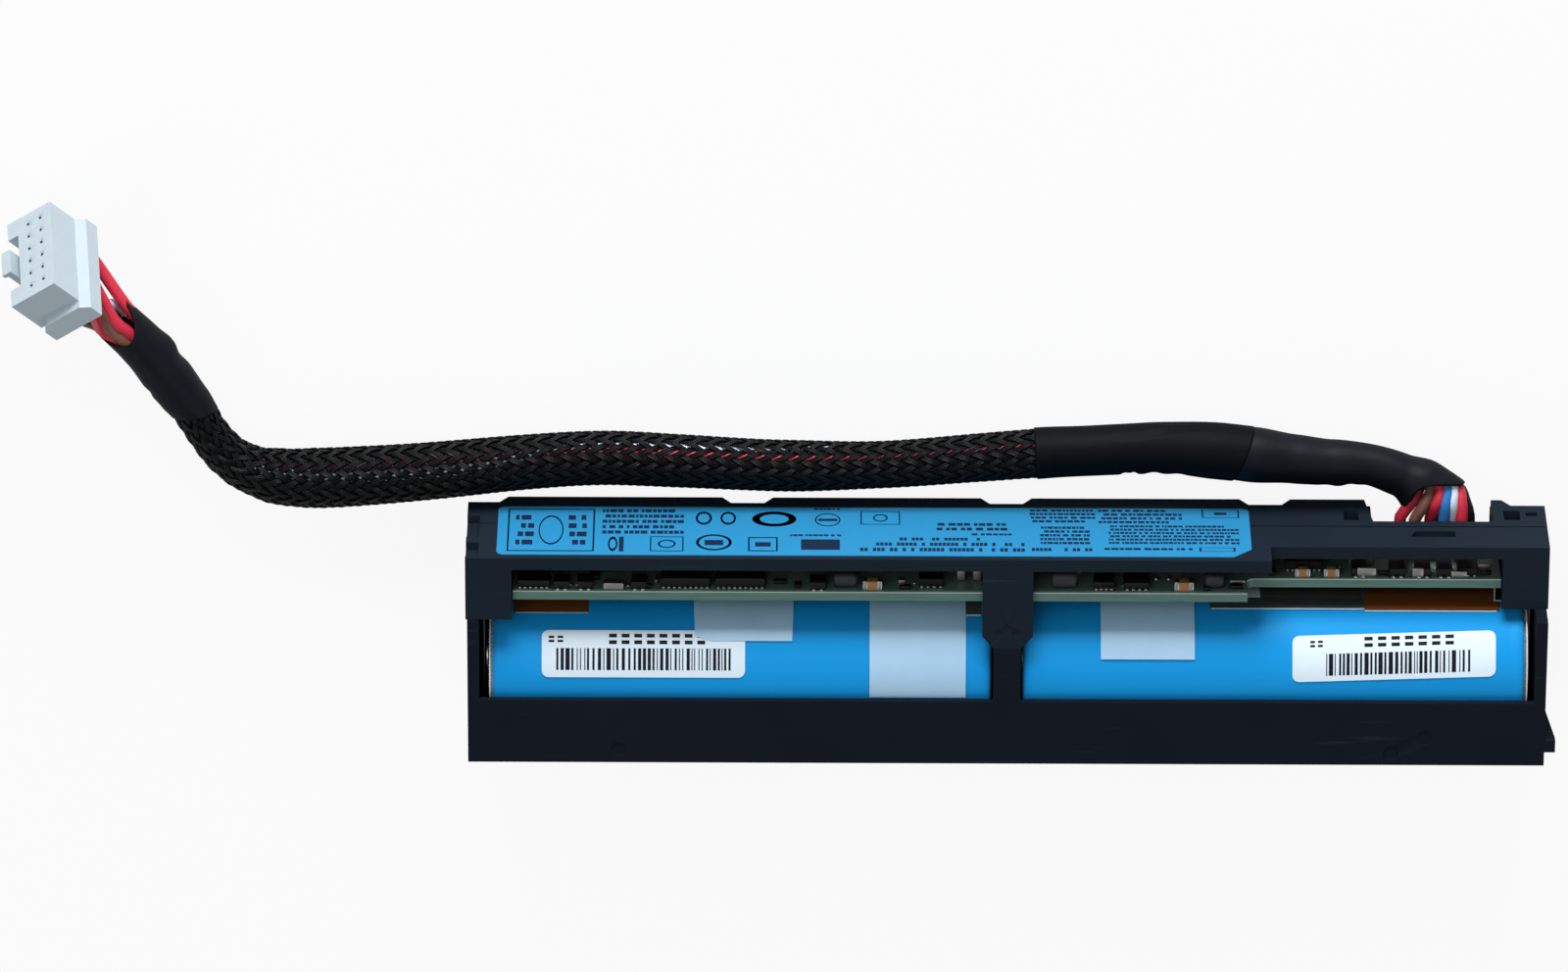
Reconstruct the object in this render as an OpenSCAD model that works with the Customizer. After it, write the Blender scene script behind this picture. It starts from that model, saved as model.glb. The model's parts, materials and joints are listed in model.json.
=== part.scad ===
// Backup battery module for a storage controller: two cylindrical cells and a
// charger board in an open moulded housing, with a sleeved lead and a plug.
// It lies on its back wall. The open window side faces up, the label wall faces
// -Y, and the origin is the middle of the back wall's resting face.

/* [Cells] */
// Diameter of a cell over its shrink wrap
cell_d = 18.4; // [18:0.1:19]
// Length of a cell over its wrap
cell_l = 65.1; // [63:0.1:68]
// Thickness of the shrink wrap
wrap_t = 0.15; // [0.1:0.05:0.3]
// Gap between the wrap and the steel can
wrap_gap = 0.05; // [0.03:0.01:0.1]
// Width that the wrap folds over each end
wrap_fold = 1.6; // [1:0.1:2.5]
// Diameter of the raised terminal
button_d = 7.4; // [6:0.1:8.5]
// Hole in the insulating ring round the terminal
ring_hole_d = 9; // [8.8:0.1:11]
// Thickness of the insulating ring
ring_t = 0.25; // [0.15:0.05:0.4]
// Gap all round between a cell and the housing
cell_gap = 0.05; // [0.03:0.01:0.2]

/* [Housing walls] */
// Thickness of the back wall
floor_t = 1; // [0.8:0.1:1.4]
// Thickness of the long wall behind the cells
far_wall_t = 1.3; // [1:0.1:1.6]
// Thickness of the end walls
end_wall_t = 1.5; // [1:0.1:1.8]
// Thickness of the band that holds the cells down
band_t = 0.9; // [0.7:0.1:1.2]
// Width of the band
band_w = 8.9; // [7:0.1:10]
// Thickness of the rib between the two cells
rib_t = 3.5; // [3:0.1:5]
// Gap between a cell and the middle rib
inner_gap = 0.3; // [0.2:0.05:0.6]
// Gap between a cell and the end wall
end_gap = 0.85; // [0.7:0.05:1.2]
// Height of the lip that the cover seats on
lip_h = 4.5; // [3:0.1:5]
// Thickness of that lip
lip_t = 0.9; // [0.7:0.1:1.2]

/* [Board cover] */
// Thickness of the label wall
label_wall_t = 1.65; // [1.4:0.05:2]
// Height of the label wall's lower edge above the resting face
tab_z = 1.6; // [1.4:0.1:2.2]
// Depth of the notches in that edge
notch_h = 1.7; // [1:0.1:2.2]
// Width of a notch where it is deepest
notch_w = 4.3; // [3:0.1:6]
// Distance between neighbouring notches
notch_pitch = 33.5; // [30:0.1:34]
// Run of each slanted edge
slant_w = 1.15; // [0.8:0.05:1.5]
// Length of the lowered rim at the lead's end
low_rim_l = 35.7; // [34:0.1:38]
// How far that rim is lowered
low_rim_drop = 4.25; // [3.5:0.05:5]
// Length of a corner block along the housing
block_l = 5.75; // [5:0.05:7]
// Depth of a corner block across the housing
block_w = 8.7; // [8.3:0.1:8.9]
// How far a corner block stands out past the end wall
block_proud = 0.2; // [0.1:0.05:0.5]
// Wall thickness inside a corner block
block_wall_t = 1.3; // [1:0.1:1.6]
// Width of the strap over the board and the rib
strap_w = 6.5; // [5:0.1:8]
// Thickness of the strap
strap_t = 0.9; // [0.7:0.1:1.2]
// Reach of the strap's full width from the label wall's face
strap_reach = 10.9; // [10:0.1:11.5]
// Length of the strap's tapered tip
strap_tip = 1.8; // [1:0.1:2]

/* [Lead exit] */
// Distance of the exit notch from the end wall's outside face
exit_from_end = 6.7; // [6.2:0.1:8]
// Width of the exit notch
exit_w = 15.5; // [14:0.1:17]
// Height of the exit notch's upper edge
exit_z = 8.2; // [7.8:0.1:9]

/* [Board] */
// Thickness of the circuit board
board_t = 1.2; // [1:0.1:1.6]
// Room for the components in front of the board
board_front_gap = 3.45; // [3.4:0.05:4.5]
// Room between the board and the cells
board_back_gap = 3; // [2.5:0.05:3.5]
// How far the board's edge is lowered beside the lead
board_drop = 4.5; // [4:0.1:5]
// Gap between the board and the housing at each end
board_end_gap = 0.15; // [0.1:0.05:0.3]

/* [Films and labels] */
// Thickness of a clear tape
tape_t = 0.06; // [0.05:0.01:0.1]
// Thickness of a paper label
label_t = 0.1; // [0.08:0.01:0.15]
// Thickness of the amber insulating strip
amber_t = 0.08; // [0.05:0.01:0.12]
// Thickness of the metal strips
strip_t = 0.15; // [0.1:0.01:0.2]
// Width of the metal strips at the cell ends
strip_w = 6; // [4:0.1:7]
// Gap between films that lie on each other
film_gap = 0.02; // [0.01:0.01:0.04]

/* [Lead and plug] */
// Diameter of the shrink sleeve at the housing
sleeve_d = 6.6; // [6.4:0.1:7]
// Diameter of the tape wrap over the braid
tape_wrap_d = 6.9; // [6.4:0.1:7]
// Diameter of the braided sleeve
braid_d = 6.8; // [6.2:0.1:7]
// Diameter of the shrink sleeve at the plug
plug_sleeve_d = 6.8; // [6.4:0.1:7]
// Diameter of one wire
wire_d = 1.5; // [1.1:0.1:1.6]
// Distance between contacts, both ways
pitch = 2; // [1.9:0.05:2.2]
// Number of contacts in a row
pins = 6; // [6:1:7]
// Thickness of the plug's body across its two rows
plug_t = 5.4; // [4.9:0.1:6]
// Length of plug body beyond the last contact
plug_end = 1.7; // [1.5:0.1:2.2]
// Length of the plug's body in front of its flange
plug_body_l = 5.9; // [5.5:0.1:7]
// Length of the plug's flange along the wires
flange_l = 2.2; // [1.6:0.1:3]
// How far the flange stands out
flange_out = 1.1; // [0.8:0.1:1.4]

/* [Hidden] */

$fn = 48;
eps = 0.01;       // cuts run this far past a face
joint_gap = 0.05; // between mouldings that seat on each other

// Housing, across: label wall, components, board, cells, far wall
module_w = label_wall_t + board_front_gap + board_t + board_back_gap
    + cell_d + 2 * cell_gap + far_wall_t;
module_h = floor_t + cell_d + 2 * cell_gap + band_t;
module_l = rib_t + 2 * (inner_gap + cell_l + end_gap + end_wall_t);
front_y = -module_w / 2;
far_y = module_w / 2;
end_x = module_l / 2;
inner_front_y = front_y + label_wall_t;
board_y = inner_front_y + board_front_gap;
board_back_y = board_y + board_t;
cell_r = cell_d / 2;
cell_y = far_y - far_wall_t - cell_gap - cell_r;
cell_z = floor_t + cell_gap + cell_r;
cell_x = rib_t / 2 + inner_gap + cell_l / 2;
block_x = end_x - block_l;
block_back_y = front_y + block_w;
low_z = module_h - low_rim_drop;
low_x = -end_x + low_rim_l;
corner_z = tab_z + notch_h;
exit_x = -end_x + exit_from_end;
exit_end_x = exit_x + exit_w;

// Board
board_top_z = module_h - strap_t - 0.1;
board_low_z = board_top_z - board_drop;
board_low_x = low_x + 3;
board_end_x = block_x - board_end_gap;
board_corner_r = 1;

// Cell ends
can_d = cell_d - 2 * (wrap_t + wrap_gap);
can_l = cell_l - 2 * (wrap_t + wrap_gap);
ring_d = cell_d - 0.8;
strip_y = block_back_y + 0.12;
rib_front_y = strip_y + strip_t + 0.15;
strap_end_y = front_y + strap_reach + strap_tip;

// Films lie on the cells in this order
first_r = cell_r + film_gap;
second_r = first_r + strip_t + film_gap;

// The braid is slack before the bend and drawn tight in it
braid_swell = [0.94, 0.9, 0.88, 0.95, 0.96, 1, 1.03, 1.05, 1.09, 1.1, 1.04,
    0.87, 0.78, 0.75, 0.82];

// The lead's route from the housing to the plug: plan, and height off the table
rest_z = max(tape_wrap_d, braid_d * max(braid_swell), plug_sleeve_d) / 2;
lead_plan = [
    [-55.2, -16.8, 1], [-53.6, -17.9, 0.7], [-51, -19.3, 0.4], [-46.5, -20.7, 0.1],
    [-40.2, -21, 0], [-31.8, -21.9, 0], [-21.8, -22.8, 0], [-9.2, -22.3, 0], [-4, -22, 0],
    [4, -21.3, 0], [16, -20.3, 0], [29, -20.1, 0], [42, -20.7, 0], [52, -21.1, 0],
    [61.8, -20.5, 0], [74, -19.2, 0], [82, -18.5, 0], [89, -18.1, 0], [94.1, -18.3, 0],
    [97.9, -19.4, 0], [100.8, -21.4, 0], [103, -24.2, 0], [105, -27.7, 0.1],
    [107.7, -31.8, 0.3], [111.1, -36.8, 0.7], [115.3, -41.4, 1.1],
];
lead_route = [for (p = lead_plan) [p[0], p[1], rest_z + p[2]]];
// Route points where one covering ends and the next starts
sleeve_end = 5;
tape_wrap_end = 8;
braid_end = 22;
lead_sides = 12;
wire_sides = 8;
// The sleeve at the housing is shrunk tighter between its mouth and the tape
sleeve_shrink = [1, 0.86, 0.78, 0.76, 0.84, 0.98];
// The sleeve at the plug is drawn tighter at both ends
plug_sleeve_shrink = [0.86, 0.96, 0.95, 0.9];
wire_board_z = 5.6;  // the wires leave the board at this height
wire_under_z = 6.3;  // and pass under the exit notch's edge at this one
wire_behind = 1.2;   // at the plug they run straight for this length behind it
wire_inside = 1.5;   // and reach this far into it
plug_wire_share = 0.9;

// Wires at the housing: colour, distance from the exit notch's near side, height above
// the row, and place in the sleeve in wire diameters, across and up
board_wires = [
    ["red", 11.3, -0.6, 1.46, -0.32], ["brown", 9.9, 0.6, 1.17, 0.94],
    ["red", 7.8, -0.9, 0, 0], ["blue", 6.15, 0.6, -0.01, 1.5],
    ["white", 5.1, -0.9, -0.64, -1.36], ["red", 3.7, 0.6, -1.18, 0.93],
    ["black", 2.7, -0.9, -1.46, -0.34], ["black", 6.55, -2.5, 0.66, -1.35],
];
// Wires at the plug: colour, row, contact, and place in the sleeve, as above
plug_wires = [
    ["red", 1, 0, 0.44, -1.43], ["red", 1, 2, 1.4, -0.55], ["brown", 1, 4, 1.3, 0.75],
    ["red", 1, 5, 0.22, 1.48], ["black", 0, 5, -1.02, 1.1], ["black", 0, 0, -0.84, -1.24],
    ["blue", 0, 2, -1.5, -0.11], ["white", 0, 4, 0, 0],
];

// Plug
plug_at = [124.45, -52.8, 10.12];
plug_turn = [25, -13, -144];
plug_l = (pins - 1) * pitch + 2 * plug_end;
plug_back_y = -(plug_body_l + flange_l);
cavity_d = 0.9;
cavity_w = 1.5;
cavity_front = 1.6;
contact_l = 3.2;
rib_out = 1.7;
latch_l = 3.6;

function unit(v) = v / norm(v);
function heading(p, i) =
    unit(p[min(i + 1, len(p) - 1)] - p[max(i - 1, 0)]);
function ring(centre, along, r, sides) =
    let (
        side = unit(cross(along, [0, 0, 1])),
        up = cross(side, along)
    )
    [for (k = [0 : sides - 1])
        centre + r * (cos(360 * k / sides) * side + sin(360 * k / sides) * up)];
function part_of(list, first, last) = [for (i = [first : last]) list[i]];

// A solid tube along points p, with radius r[i] at point i
module tube(p, r, sides, first_heading = undef, last_heading = undef) {
    n = len(p);
    points = [for (i = [0 : n - 1])
        let (along = (i == 0 && first_heading != undef) ? first_heading
            : (i == n - 1 && last_heading != undef) ? last_heading
            : heading(p, i))
        each ring(p[i], along, r[i], sides)];
    walls = [for (i = [0 : n - 2], k = [0 : sides - 1])
        let (a = i * sides + k, b = i * sides + (k + 1) % sides)
        each [[a, b, b + sides], [a, b + sides, a + sides]]];
    start = [for (k = [sides - 1 : -1 : 0]) k];
    end = [for (k = [0 : sides - 1]) (n - 1) * sides + k];
    polyhedron(points, concat([start], walls, [end]));
}

// One covering of the lead, between two points of its route, with a radius at each
module lead_part(first, last, radii) {
    tube(
        part_of(lead_route, first, last), radii, lead_sides,
        heading(lead_route, first), heading(lead_route, last)
    );
}

// Turns a shape drawn round Z so that it lies round X, with its start facing up
module along_x() {
    rotate([180, 0, 0]) rotate([0, 90, 0]) children();
}

// A film of radius r round a cell's axis: its span is both ends along X, then both
// edges as angles from the top towards the front
module film(r, t, span) {
    translate([span[0], cell_y, cell_z]) along_x()
        rotate([0, 0, span[2]]) rotate_extrude(angle = span[3] - span[2], $fn = 96)
            translate([r, 0]) square([t, span[1] - span[0]]);
}

// A rectangle with round corners, its lower left corner at the origin
module round_rect(w, h, r) {
    translate([r, 0]) square([w - 2 * r, h]);
    translate([0, r]) square([w, h - 2 * r]);
    for (x = [r, w - r], y = [r, h - r]) translate([x, y]) circle(r, $fn = 24);
}

// A flat outline in X and Z, made t thick towards +Y from y
module upright(y, t) {
    translate([0, y + t, 0]) rotate([90, 0, 0]) linear_extrude(t) children();
}

module box(x0, x1, y0, y1, z0, z1) {
    translate([x0, y0, z0]) cube([x1 - x0, y1 - y0, z1 - z0]);
}

// ---- Housing ----

guide_h = 1.2;
guide_t = 0.8;
guide_gap = 0.1;
mark_d = 2;
mark_depth = 0.15;
barb_y0 = 25.5;  // the latch barb's sides, from the label wall's face
barb_y1 = 27.2;
barb_z = 5;
barb_out = 1.4;

band_mark_list = [[50, 1.9], [-49.7, 1.7], [-54, 3.9]];  // along X, and from the edge

module band_marks() {
    for (p = band_mark_list)
        translate([p[0], far_y - p[1], module_h - mark_depth])
            cylinder(d = mark_d, h = 1);
}

module latch_barb() {
    translate([-end_x, front_y + barb_y1, 0]) rotate([90, 0, 0])
        linear_extrude(barb_y1 - barb_y0)
            polygon([[eps, barb_z], [eps, module_h], [-barb_out, module_h],
                [-barb_out, module_h - 1]]);
}

module cell_tray() {
    color([0.10, 0.12, 0.15]) {
        difference() {
            union() {
                box(-end_x, end_x, inner_front_y, far_y, 0, floor_t);
                box(-end_x, end_x, far_y - far_wall_t, far_y, 0, module_h);
                box(-end_x, end_x, far_y - band_w, far_y, module_h - band_t, module_h);
                for (s = [-1, 1])
                    box(min(s * end_x, s * (end_x - end_wall_t)),
                        max(s * end_x, s * (end_x - end_wall_t)),
                        block_back_y, far_y, 0, module_h);
                box(-rib_t / 2, rib_t / 2, rib_front_y, far_y, 0,
                    module_h - strap_t - joint_gap);
                box(-rib_t / 2, rib_t / 2, strap_end_y, far_y, 0, module_h);
                box(exit_end_x, block_x - joint_gap, inner_front_y,
                    inner_front_y + lip_t, 0, lip_h);
                box(-block_x + joint_gap, block_x - joint_gap,
                    board_back_y + guide_gap, board_back_y + guide_gap + guide_t,
                    0, floor_t + guide_h);
                latch_barb();
            }
            box(exit_x, exit_end_x, inner_front_y - eps, board_y - 0.4, -eps, lip_h + eps);
            band_marks();
        }
    }
}

exit_tab_w = 1.35;  // tab beside the exit notch
exit_lean = 0.9;    // run of the notch's slanted side
end_tab_from_end = 5;

// Outline of the label wall, seen from the front
module label_wall_outline() {
    step_x = notch_w / 2 + slant_w;
    left_tab_x = exit_x - exit_tab_w;
    right_tab_x = end_x - end_tab_from_end;
    polygon(concat(
        [[-end_x - block_proud, corner_z], [left_tab_x - slant_w, corner_z],
            [left_tab_x, tab_z], [exit_x, tab_z], [exit_x, exit_z],
            [exit_end_x, exit_z], [exit_end_x + exit_lean, tab_z]],
        [for (i = [-1 : 1], e = [0 : 3])
            [i * notch_pitch + [-step_x, -notch_w / 2, notch_w / 2, step_x][e],
                [tab_z, corner_z, corner_z, tab_z][e]]],
        [[right_tab_x, tab_z], [right_tab_x + slant_w, corner_z],
            [end_x + block_proud, corner_z], [end_x + block_proud, module_h],
            [low_x, module_h], [low_x, low_z], [-end_x - block_proud, low_z]]
    ));
}

// A hollow corner block, open below, whose top is at z
module corner_block(side, z) {
    outer_x = side * (end_x + block_proud);
    inner_x = side * block_x;
    difference() {
        box(min(outer_x, inner_x), max(outer_x, inner_x), front_y, block_back_y,
            corner_z, z);
        box(min(outer_x, inner_x) + block_wall_t, max(outer_x, inner_x) - block_wall_t,
            inner_front_y, block_back_y - block_wall_t, corner_z - eps, z - block_wall_t);
    }
}

module strap() {
    translate([0, 0, module_h - strap_t]) linear_extrude(strap_t)
        polygon([[-strap_w / 2, inner_front_y - eps], [strap_w / 2, inner_front_y - eps],
            [strap_w / 2, front_y + strap_reach], [rib_t / 2, strap_end_y - joint_gap],
            [-rib_t / 2, strap_end_y - joint_gap], [-strap_w / 2, front_y + strap_reach]]);
}

stake_y = 9.7;   // the stake mark's middle, from the label wall's face
lobe_r = 0.75;
lobe_d = 1;
groove_z = 9.65;
groove_h = 0.25;
groove_depth = 0.2;
pocket_depth = 1.1;

module stake_mark() {
    translate([0, front_y + stake_y, module_h - mark_depth]) {
        cylinder(d = lobe_d, h = 1, $fn = 24);
        for (a = [30, 150]) rotate(a) translate([lobe_r + lobe_d / 2, 0])
            cylinder(d = lobe_d, h = 1, $fn = 24);
    }
}

// Latch holes: both sides, measured from the lead's end, then both heights
hole_list = [[3.15, 5.25, 4.85, 7.7], [0.9, 2.4, 5.3, 6.45], [24.05, 25.95, 5.1, 7.9]];
slot_outline = [[11.8, 11.2], [16.9, 11.2], [17.6, 12.9], [11.8, 12.9]];
// Pockets, the same way but measured from the other end
pocket_list = [[1.45, -0.5, 7.5, 13.9], [1.45, -0.5, 15.6, 19.8]];

module label_wall_holes() {
    for (h = hole_list)
        box(-end_x + h[0], -end_x + h[1], front_y - eps, inner_front_y + 1, h[2], h[3]);
    upright(front_y - eps, label_wall_t + 2 * eps)
        translate([-end_x, 0]) polygon(slot_outline);
    for (h = pocket_list)
        box(end_x - h[0], end_x - h[1], front_y - eps, front_y + pocket_depth, h[2], h[3]);
    // A shallow line along the wall
    box(-end_x - 1, end_x + 1, front_y - eps, front_y + groove_depth,
        groove_z, groove_z + groove_h);
}

stop_x = [-38, -18, 18, 46];
stop_t = 1.2;
stop_h = 7;

module board_cover() {
    color([0.17, 0.21, 0.26])
        difference() {
            union() {
                upright(front_y, label_wall_t) label_wall_outline();
                corner_block(1, module_h);
                corner_block(-1, low_z);
                strap();
                for (x = stop_x)
                    box(x - stop_t / 2, x + stop_t / 2, inner_front_y + lip_t + joint_gap,
                        board_y - joint_gap, lip_h - 2, stop_h);
                for (x = stop_x)
                    box(x - stop_t / 2, x + stop_t / 2, inner_front_y - eps,
                        board_y - joint_gap, lip_h + joint_gap, stop_h);
            }
            stake_mark();
            label_wall_holes();
        }
}

// ---- Cells ----

can_corner_r = 0.8;
groove_from_end = 3.2;
crimp_r = 0.5;
button_h = wrap_t + wrap_gap;

// A steel can with its raised terminal at +Z
module can() {
    r = can_d / 2;
    half = can_l / 2;
    rotate_extrude()
        difference() {
            union() {
                polygon([[0, -half], [r - can_corner_r, -half], [r, -half + can_corner_r],
                    [r, half - can_corner_r], [r - can_corner_r, half], [0, half]]);
                square([button_d / 2, half + button_h]);
            }
            translate([r, half - groove_from_end]) circle(crimp_r, $fn = 24);
        }
}

module cell_can(side) {
    color([0.62, 0.64, 0.66])
        translate([side * cell_x, cell_y, cell_z]) rotate([0, 90, 0]) can();
}

module cell_wrap(side) {
    r = cell_d / 2;
    half = cell_l / 2;
    inside = r - wrap_t;
    color([0.09, 0.55, 0.83])
        translate([side * cell_x, cell_y, cell_z]) rotate([0, 90, 0])
            rotate_extrude($fn = 96)
                polygon([[r - wrap_fold, -half], [r, -half], [r, half], [r - wrap_fold, half],
                    [r - wrap_fold, half - wrap_t], [inside, half - wrap_t],
                    [inside, -half + wrap_t], [r - wrap_fold, -half + wrap_t]]);
}

module end_rings() {
    color([0.92, 0.92, 0.88])
        for (x = [-cell_x - cell_l / 2 - ring_t, cell_x + cell_l / 2])
            translate([x, cell_y, cell_z]) rotate([0, 90, 0])
                difference() {
                    cylinder(d = ring_d, h = ring_t);
                    translate([0, 0, -eps]) cylinder(d = ring_hole_d, h = ring_t + 2 * eps);
                }
}

// ---- Metal strips ----

// An outline in X and Y, as wide as the strips, at the cells' mid height
module strip_shape() {
    translate([0, 0, cell_z - strip_w / 2]) linear_extrude(strip_w) children();
}

foot_x = block_x - 0.9;

// A strip bent square along points in X and Y
module bent_strip(points) {
    strip_shape()
        for (i = [0 : len(points) - 2])
            let (a = points[i], b = points[i + 1])
                translate([min(a[0], b[0]), min(a[1], b[1])])
                    square([abs(a[0] - b[0]) + strip_t, abs(a[1] - b[1]) + strip_t]);
}

// From a cell's outer end round to the back of the board
module end_strip() {
    outer = cell_x + cell_l / 2 + ring_t;
    bent_strip([[outer, cell_y + strip_w / 2], [outer, strip_y], [foot_x, strip_y],
        [foot_x, board_back_y]]);
}

module end_strip_right() {
    color([0.78, 0.77, 0.74]) end_strip();
}

module end_strip_left() {
    color([0.78, 0.77, 0.74]) mirror([1, 0, 0]) end_strip();
}

// The link between the two cells, bent round the middle rib, with a foot on the board
module series_strip() {
    gap = 0.08;
    x = rib_t / 2 + gap;
    y = rib_front_y - gap - strip_t;
    color([0.78, 0.77, 0.74]) {
        bent_strip([[-x - strip_t, cell_y + strip_w / 2], [-x - strip_t, y], [x, y],
            [x, cell_y + strip_w / 2]]);
        bent_strip([[0, y], [0, board_back_y]]);
    }
}

// Spans of the films: both ends along X, then both edges as angles from a cell's top
board_edge_a = 112;  // below the board's edge, out of sight
inner_x = cell_x - cell_l / 2;
band_film_gap = 0.2;
band_edge_a = asin((far_y - band_w - cell_y - band_film_gap) / second_r);
sense_span = [-block_x + 16, -block_x + 37.5, 68.5, 81];
amber_right_span = [block_x - 9.8, block_x - 0.1, 61.5, board_edge_a];
amber_left_span = [-block_x + 0.1, -block_x + 17.6, 66.5, board_edge_a];
pad_span = [-block_x + 17.8, -block_x + 30.8, 82, board_edge_a];
paper_span = [-block_x + 31, -block_x + 35, 82, board_edge_a];
tape_right_span = [cell_x - 7.1, cell_x + 6.4, 37, board_edge_a];
tape_middle_span = [inner_x + 3.25, inner_x + 15.65, -band_edge_a, board_edge_a];
tape_left_span = [-inner_x - 22.15, -inner_x - 10.05, 23.5, board_edge_a];
cell_label_w = 26.2;
label_right_span = [cell_x - 0.85, cell_x - 0.85 + cell_label_w, 7.7, 45.4];
label_left_span = [-cell_x - 28.4, -cell_x - 28.4 + cell_label_w, 8.4, 45.3];

module sense_strip() {
    color([0.62, 0.66, 0.66]) film(first_r, strip_t, sense_span);
}

// ---- Board and its components ----

module circuit_board() {
    color([0.16, 0.33, 0.27])
        upright(board_y, board_t)
            difference() {
                union() {
                    translate([-board_end_x, floor_t])
                        square([2 * board_end_x, board_low_z - floor_t]);
                    translate([board_low_x, floor_t])
                        square([board_end_x - board_low_x, board_top_z - floor_t]);
                    translate([board_low_x - board_corner_r, board_low_z])
                        square(board_corner_r);
                }
                translate([board_low_x - board_corner_r, board_low_z + board_corner_r])
                    circle(board_corner_r, $fn = 32);
            }
}

// Components on the board's front: place along it, upper edge below the board's edge,
// width, height and how far it stands off the board. On the long upper edge's right
// half the places are slots, which spread with the board. The rest keep their distance
// from the board's step, or from its end beside the lead.
slots = 64;
slot_w = board_end_x / slots;
power_list = [[41.7, 1, 6.3, 6.1, 1.4], [34.6, 1, 6.3, 6.1, 1.4]];
chip_list = [[61.35, 0.8, 4.2, 4, 1.1], [9.9, 1.4, 3.2, 5, 1.2]];
step_chip_list = [[18.45, 0.9, 2.6, 3, 1.1], [14.25, 0.8, 3.2, 4, 1.1]];
end_chip_list = [[25.35, 2.4, 4.8, 5, 1.3], [4.25, 0.9, 2.6, 5, 1.1]];
transistor_list = [[57.7, 0.5, 2, 2.6, 1.1], [54.7, 0.5, 2, 2.6, 1.1],
    [47.7, 0.5, 2, 2.6, 1.1], [24.6, 0.5, 2, 2.6, 1.1]];
end_transistor_list = [[18.25, 0.6, 2, 2.8, 1.2], [13.35, 0.6, 2, 2.8, 1.2],
    [10.05, 0.6, 2, 2.8, 1.2], [7.25, 0.6, 2, 2.8, 1.2]];
inductor_list = [[21, 0.9, 3.2, 3.4, 2]];
step_inductor_list = [[23.55, 0.9, 3.4, 3.6, 2.2], [4.25, 1, 2.6, 3, 2]];
ceramic_list = [[17.5, 0.4, 2.4, 1.3, 1.3]];
step_ceramic_list = [[8.15, 0.4, 2.4, 1.3, 1.3]];
end_ceramic_list = [[25.55, 0.3, 1.9, 1, 1.2], [21.85, 0.3, 1.9, 1, 1.2]];
tantalum_list = [[51, 0.3, 2.6, 1.5, 1]];
end_tantalum_list = [[17.85, 4.2, 3.2, 1.6, 1.6]];
crystal_list = [[6, 3.2, 1.3, 2.6, 1.6], [3.9, 3.2, 1.3, 2.6, 1.6]];

// Components whose places run from start in steps of unit_w, below an edge at edge_z
module packages(list, start, unit_w, edge_z) {
    for (c = list)
        let (x = start + c[0] * unit_w)
            box(x - c[2] / 2, x + c[2] / 2, board_y - c[4], board_y,
                edge_z - c[1] - c[3], edge_z - c[1]);
}

module slot_packages(list) {
    packages(list, 0, slot_w, board_top_z);
}

module step_packages(list) {
    packages(list, board_low_x, 1, board_top_z);
}

module end_packages(list) {
    packages(list, -board_end_x, 1, board_low_z);
}

module power_packages() {
    color([0.06, 0.06, 0.07]) slot_packages(power_list);
}

module control_chips() {
    color([0.08, 0.08, 0.09]) {
        slot_packages(chip_list);
        step_packages(step_chip_list);
        end_packages(end_chip_list);
    }
}

module transistors() {
    color([0.1, 0.1, 0.11]) {
        slot_packages(transistor_list);
        end_packages(end_transistor_list);
    }
}

module inductors() {
    color([0.2, 0.2, 0.21]) {
        slot_packages(inductor_list);
        step_packages(step_inductor_list);
    }
}

module ceramic_capacitors() {
    color([0.62, 0.47, 0.3]) {
        slot_packages(ceramic_list);
        step_packages(step_ceramic_list);
        end_packages(end_ceramic_list);
    }
}

module tantalum_capacitors() {
    color([0.75, 0.75, 0.72]) {
        slot_packages(tantalum_list);
        end_packages(end_tantalum_list);
    }
}

module crystal_cans() {
    color([0.82, 0.83, 0.83]) slot_packages(crystal_list);
}

joint_d = 1.6;
joint_h = 0.5;

// Domed solder joints where the wires come through the board
module solder_joints() {
    color([0.8, 0.8, 0.78])
        for (w = board_wires)
            translate([exit_x + w[1], board_back_y, wire_board_z + w[2]])
                rotate([-90, 0, 0])
                    cylinder(d1 = joint_d, d2 = joint_d / 3, h = joint_h, $fn = 24);
}

// ---- Films and labels ----

module amber_strip_right() {
    color([0.45, 0.22, 0.05]) film(first_r, amber_t, amber_right_span);
}

module amber_strip_left() {
    color([0.45, 0.22, 0.05]) film(second_r, amber_t, amber_left_span);
}

module dark_pad() {
    color([0.1, 0.13, 0.13]) film(first_r, strip_t, pad_span);
}

// A plan outline, measured from the label wall's face, as high as the housing
module plan(outline) {
    translate([0, front_y, 0]) linear_extrude(module_h) polygon(outline);
}

paper_outline = [for (p = [[30.9, 11.6], [35.1, 11.6], [30.9, 6]]) [p[0] - block_x, p[1]]];
tape_outline = [for (p = [[6.4, 0], [-7.6, 0], [-6.9, 13.2], [-0.6, 13.8], [5.6, 12.4]])
    [p[0] + cell_x, p[1]]];

// A paper corner that shows beside the board's step
module paper_insulator() {
    color([0.93, 0.95, 0.97])
        intersection() {
            film(first_r, label_t, paper_span);
            plan(paper_outline);
        }
}

module tape_right() {
    color([0.66, 0.79, 0.87])
        intersection() {
            film(second_r, tape_t, tape_right_span);
            plan(tape_outline);
        }
}

module tape_middle() {
    color([0.66, 0.79, 0.87]) film(second_r, tape_t, tape_middle_span);
}

module tape_left() {
    color([0.66, 0.79, 0.87]) film(second_r, tape_t, tape_left_span);
}

label_corner_r = 1.1;
label_margin_a = 10;

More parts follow.
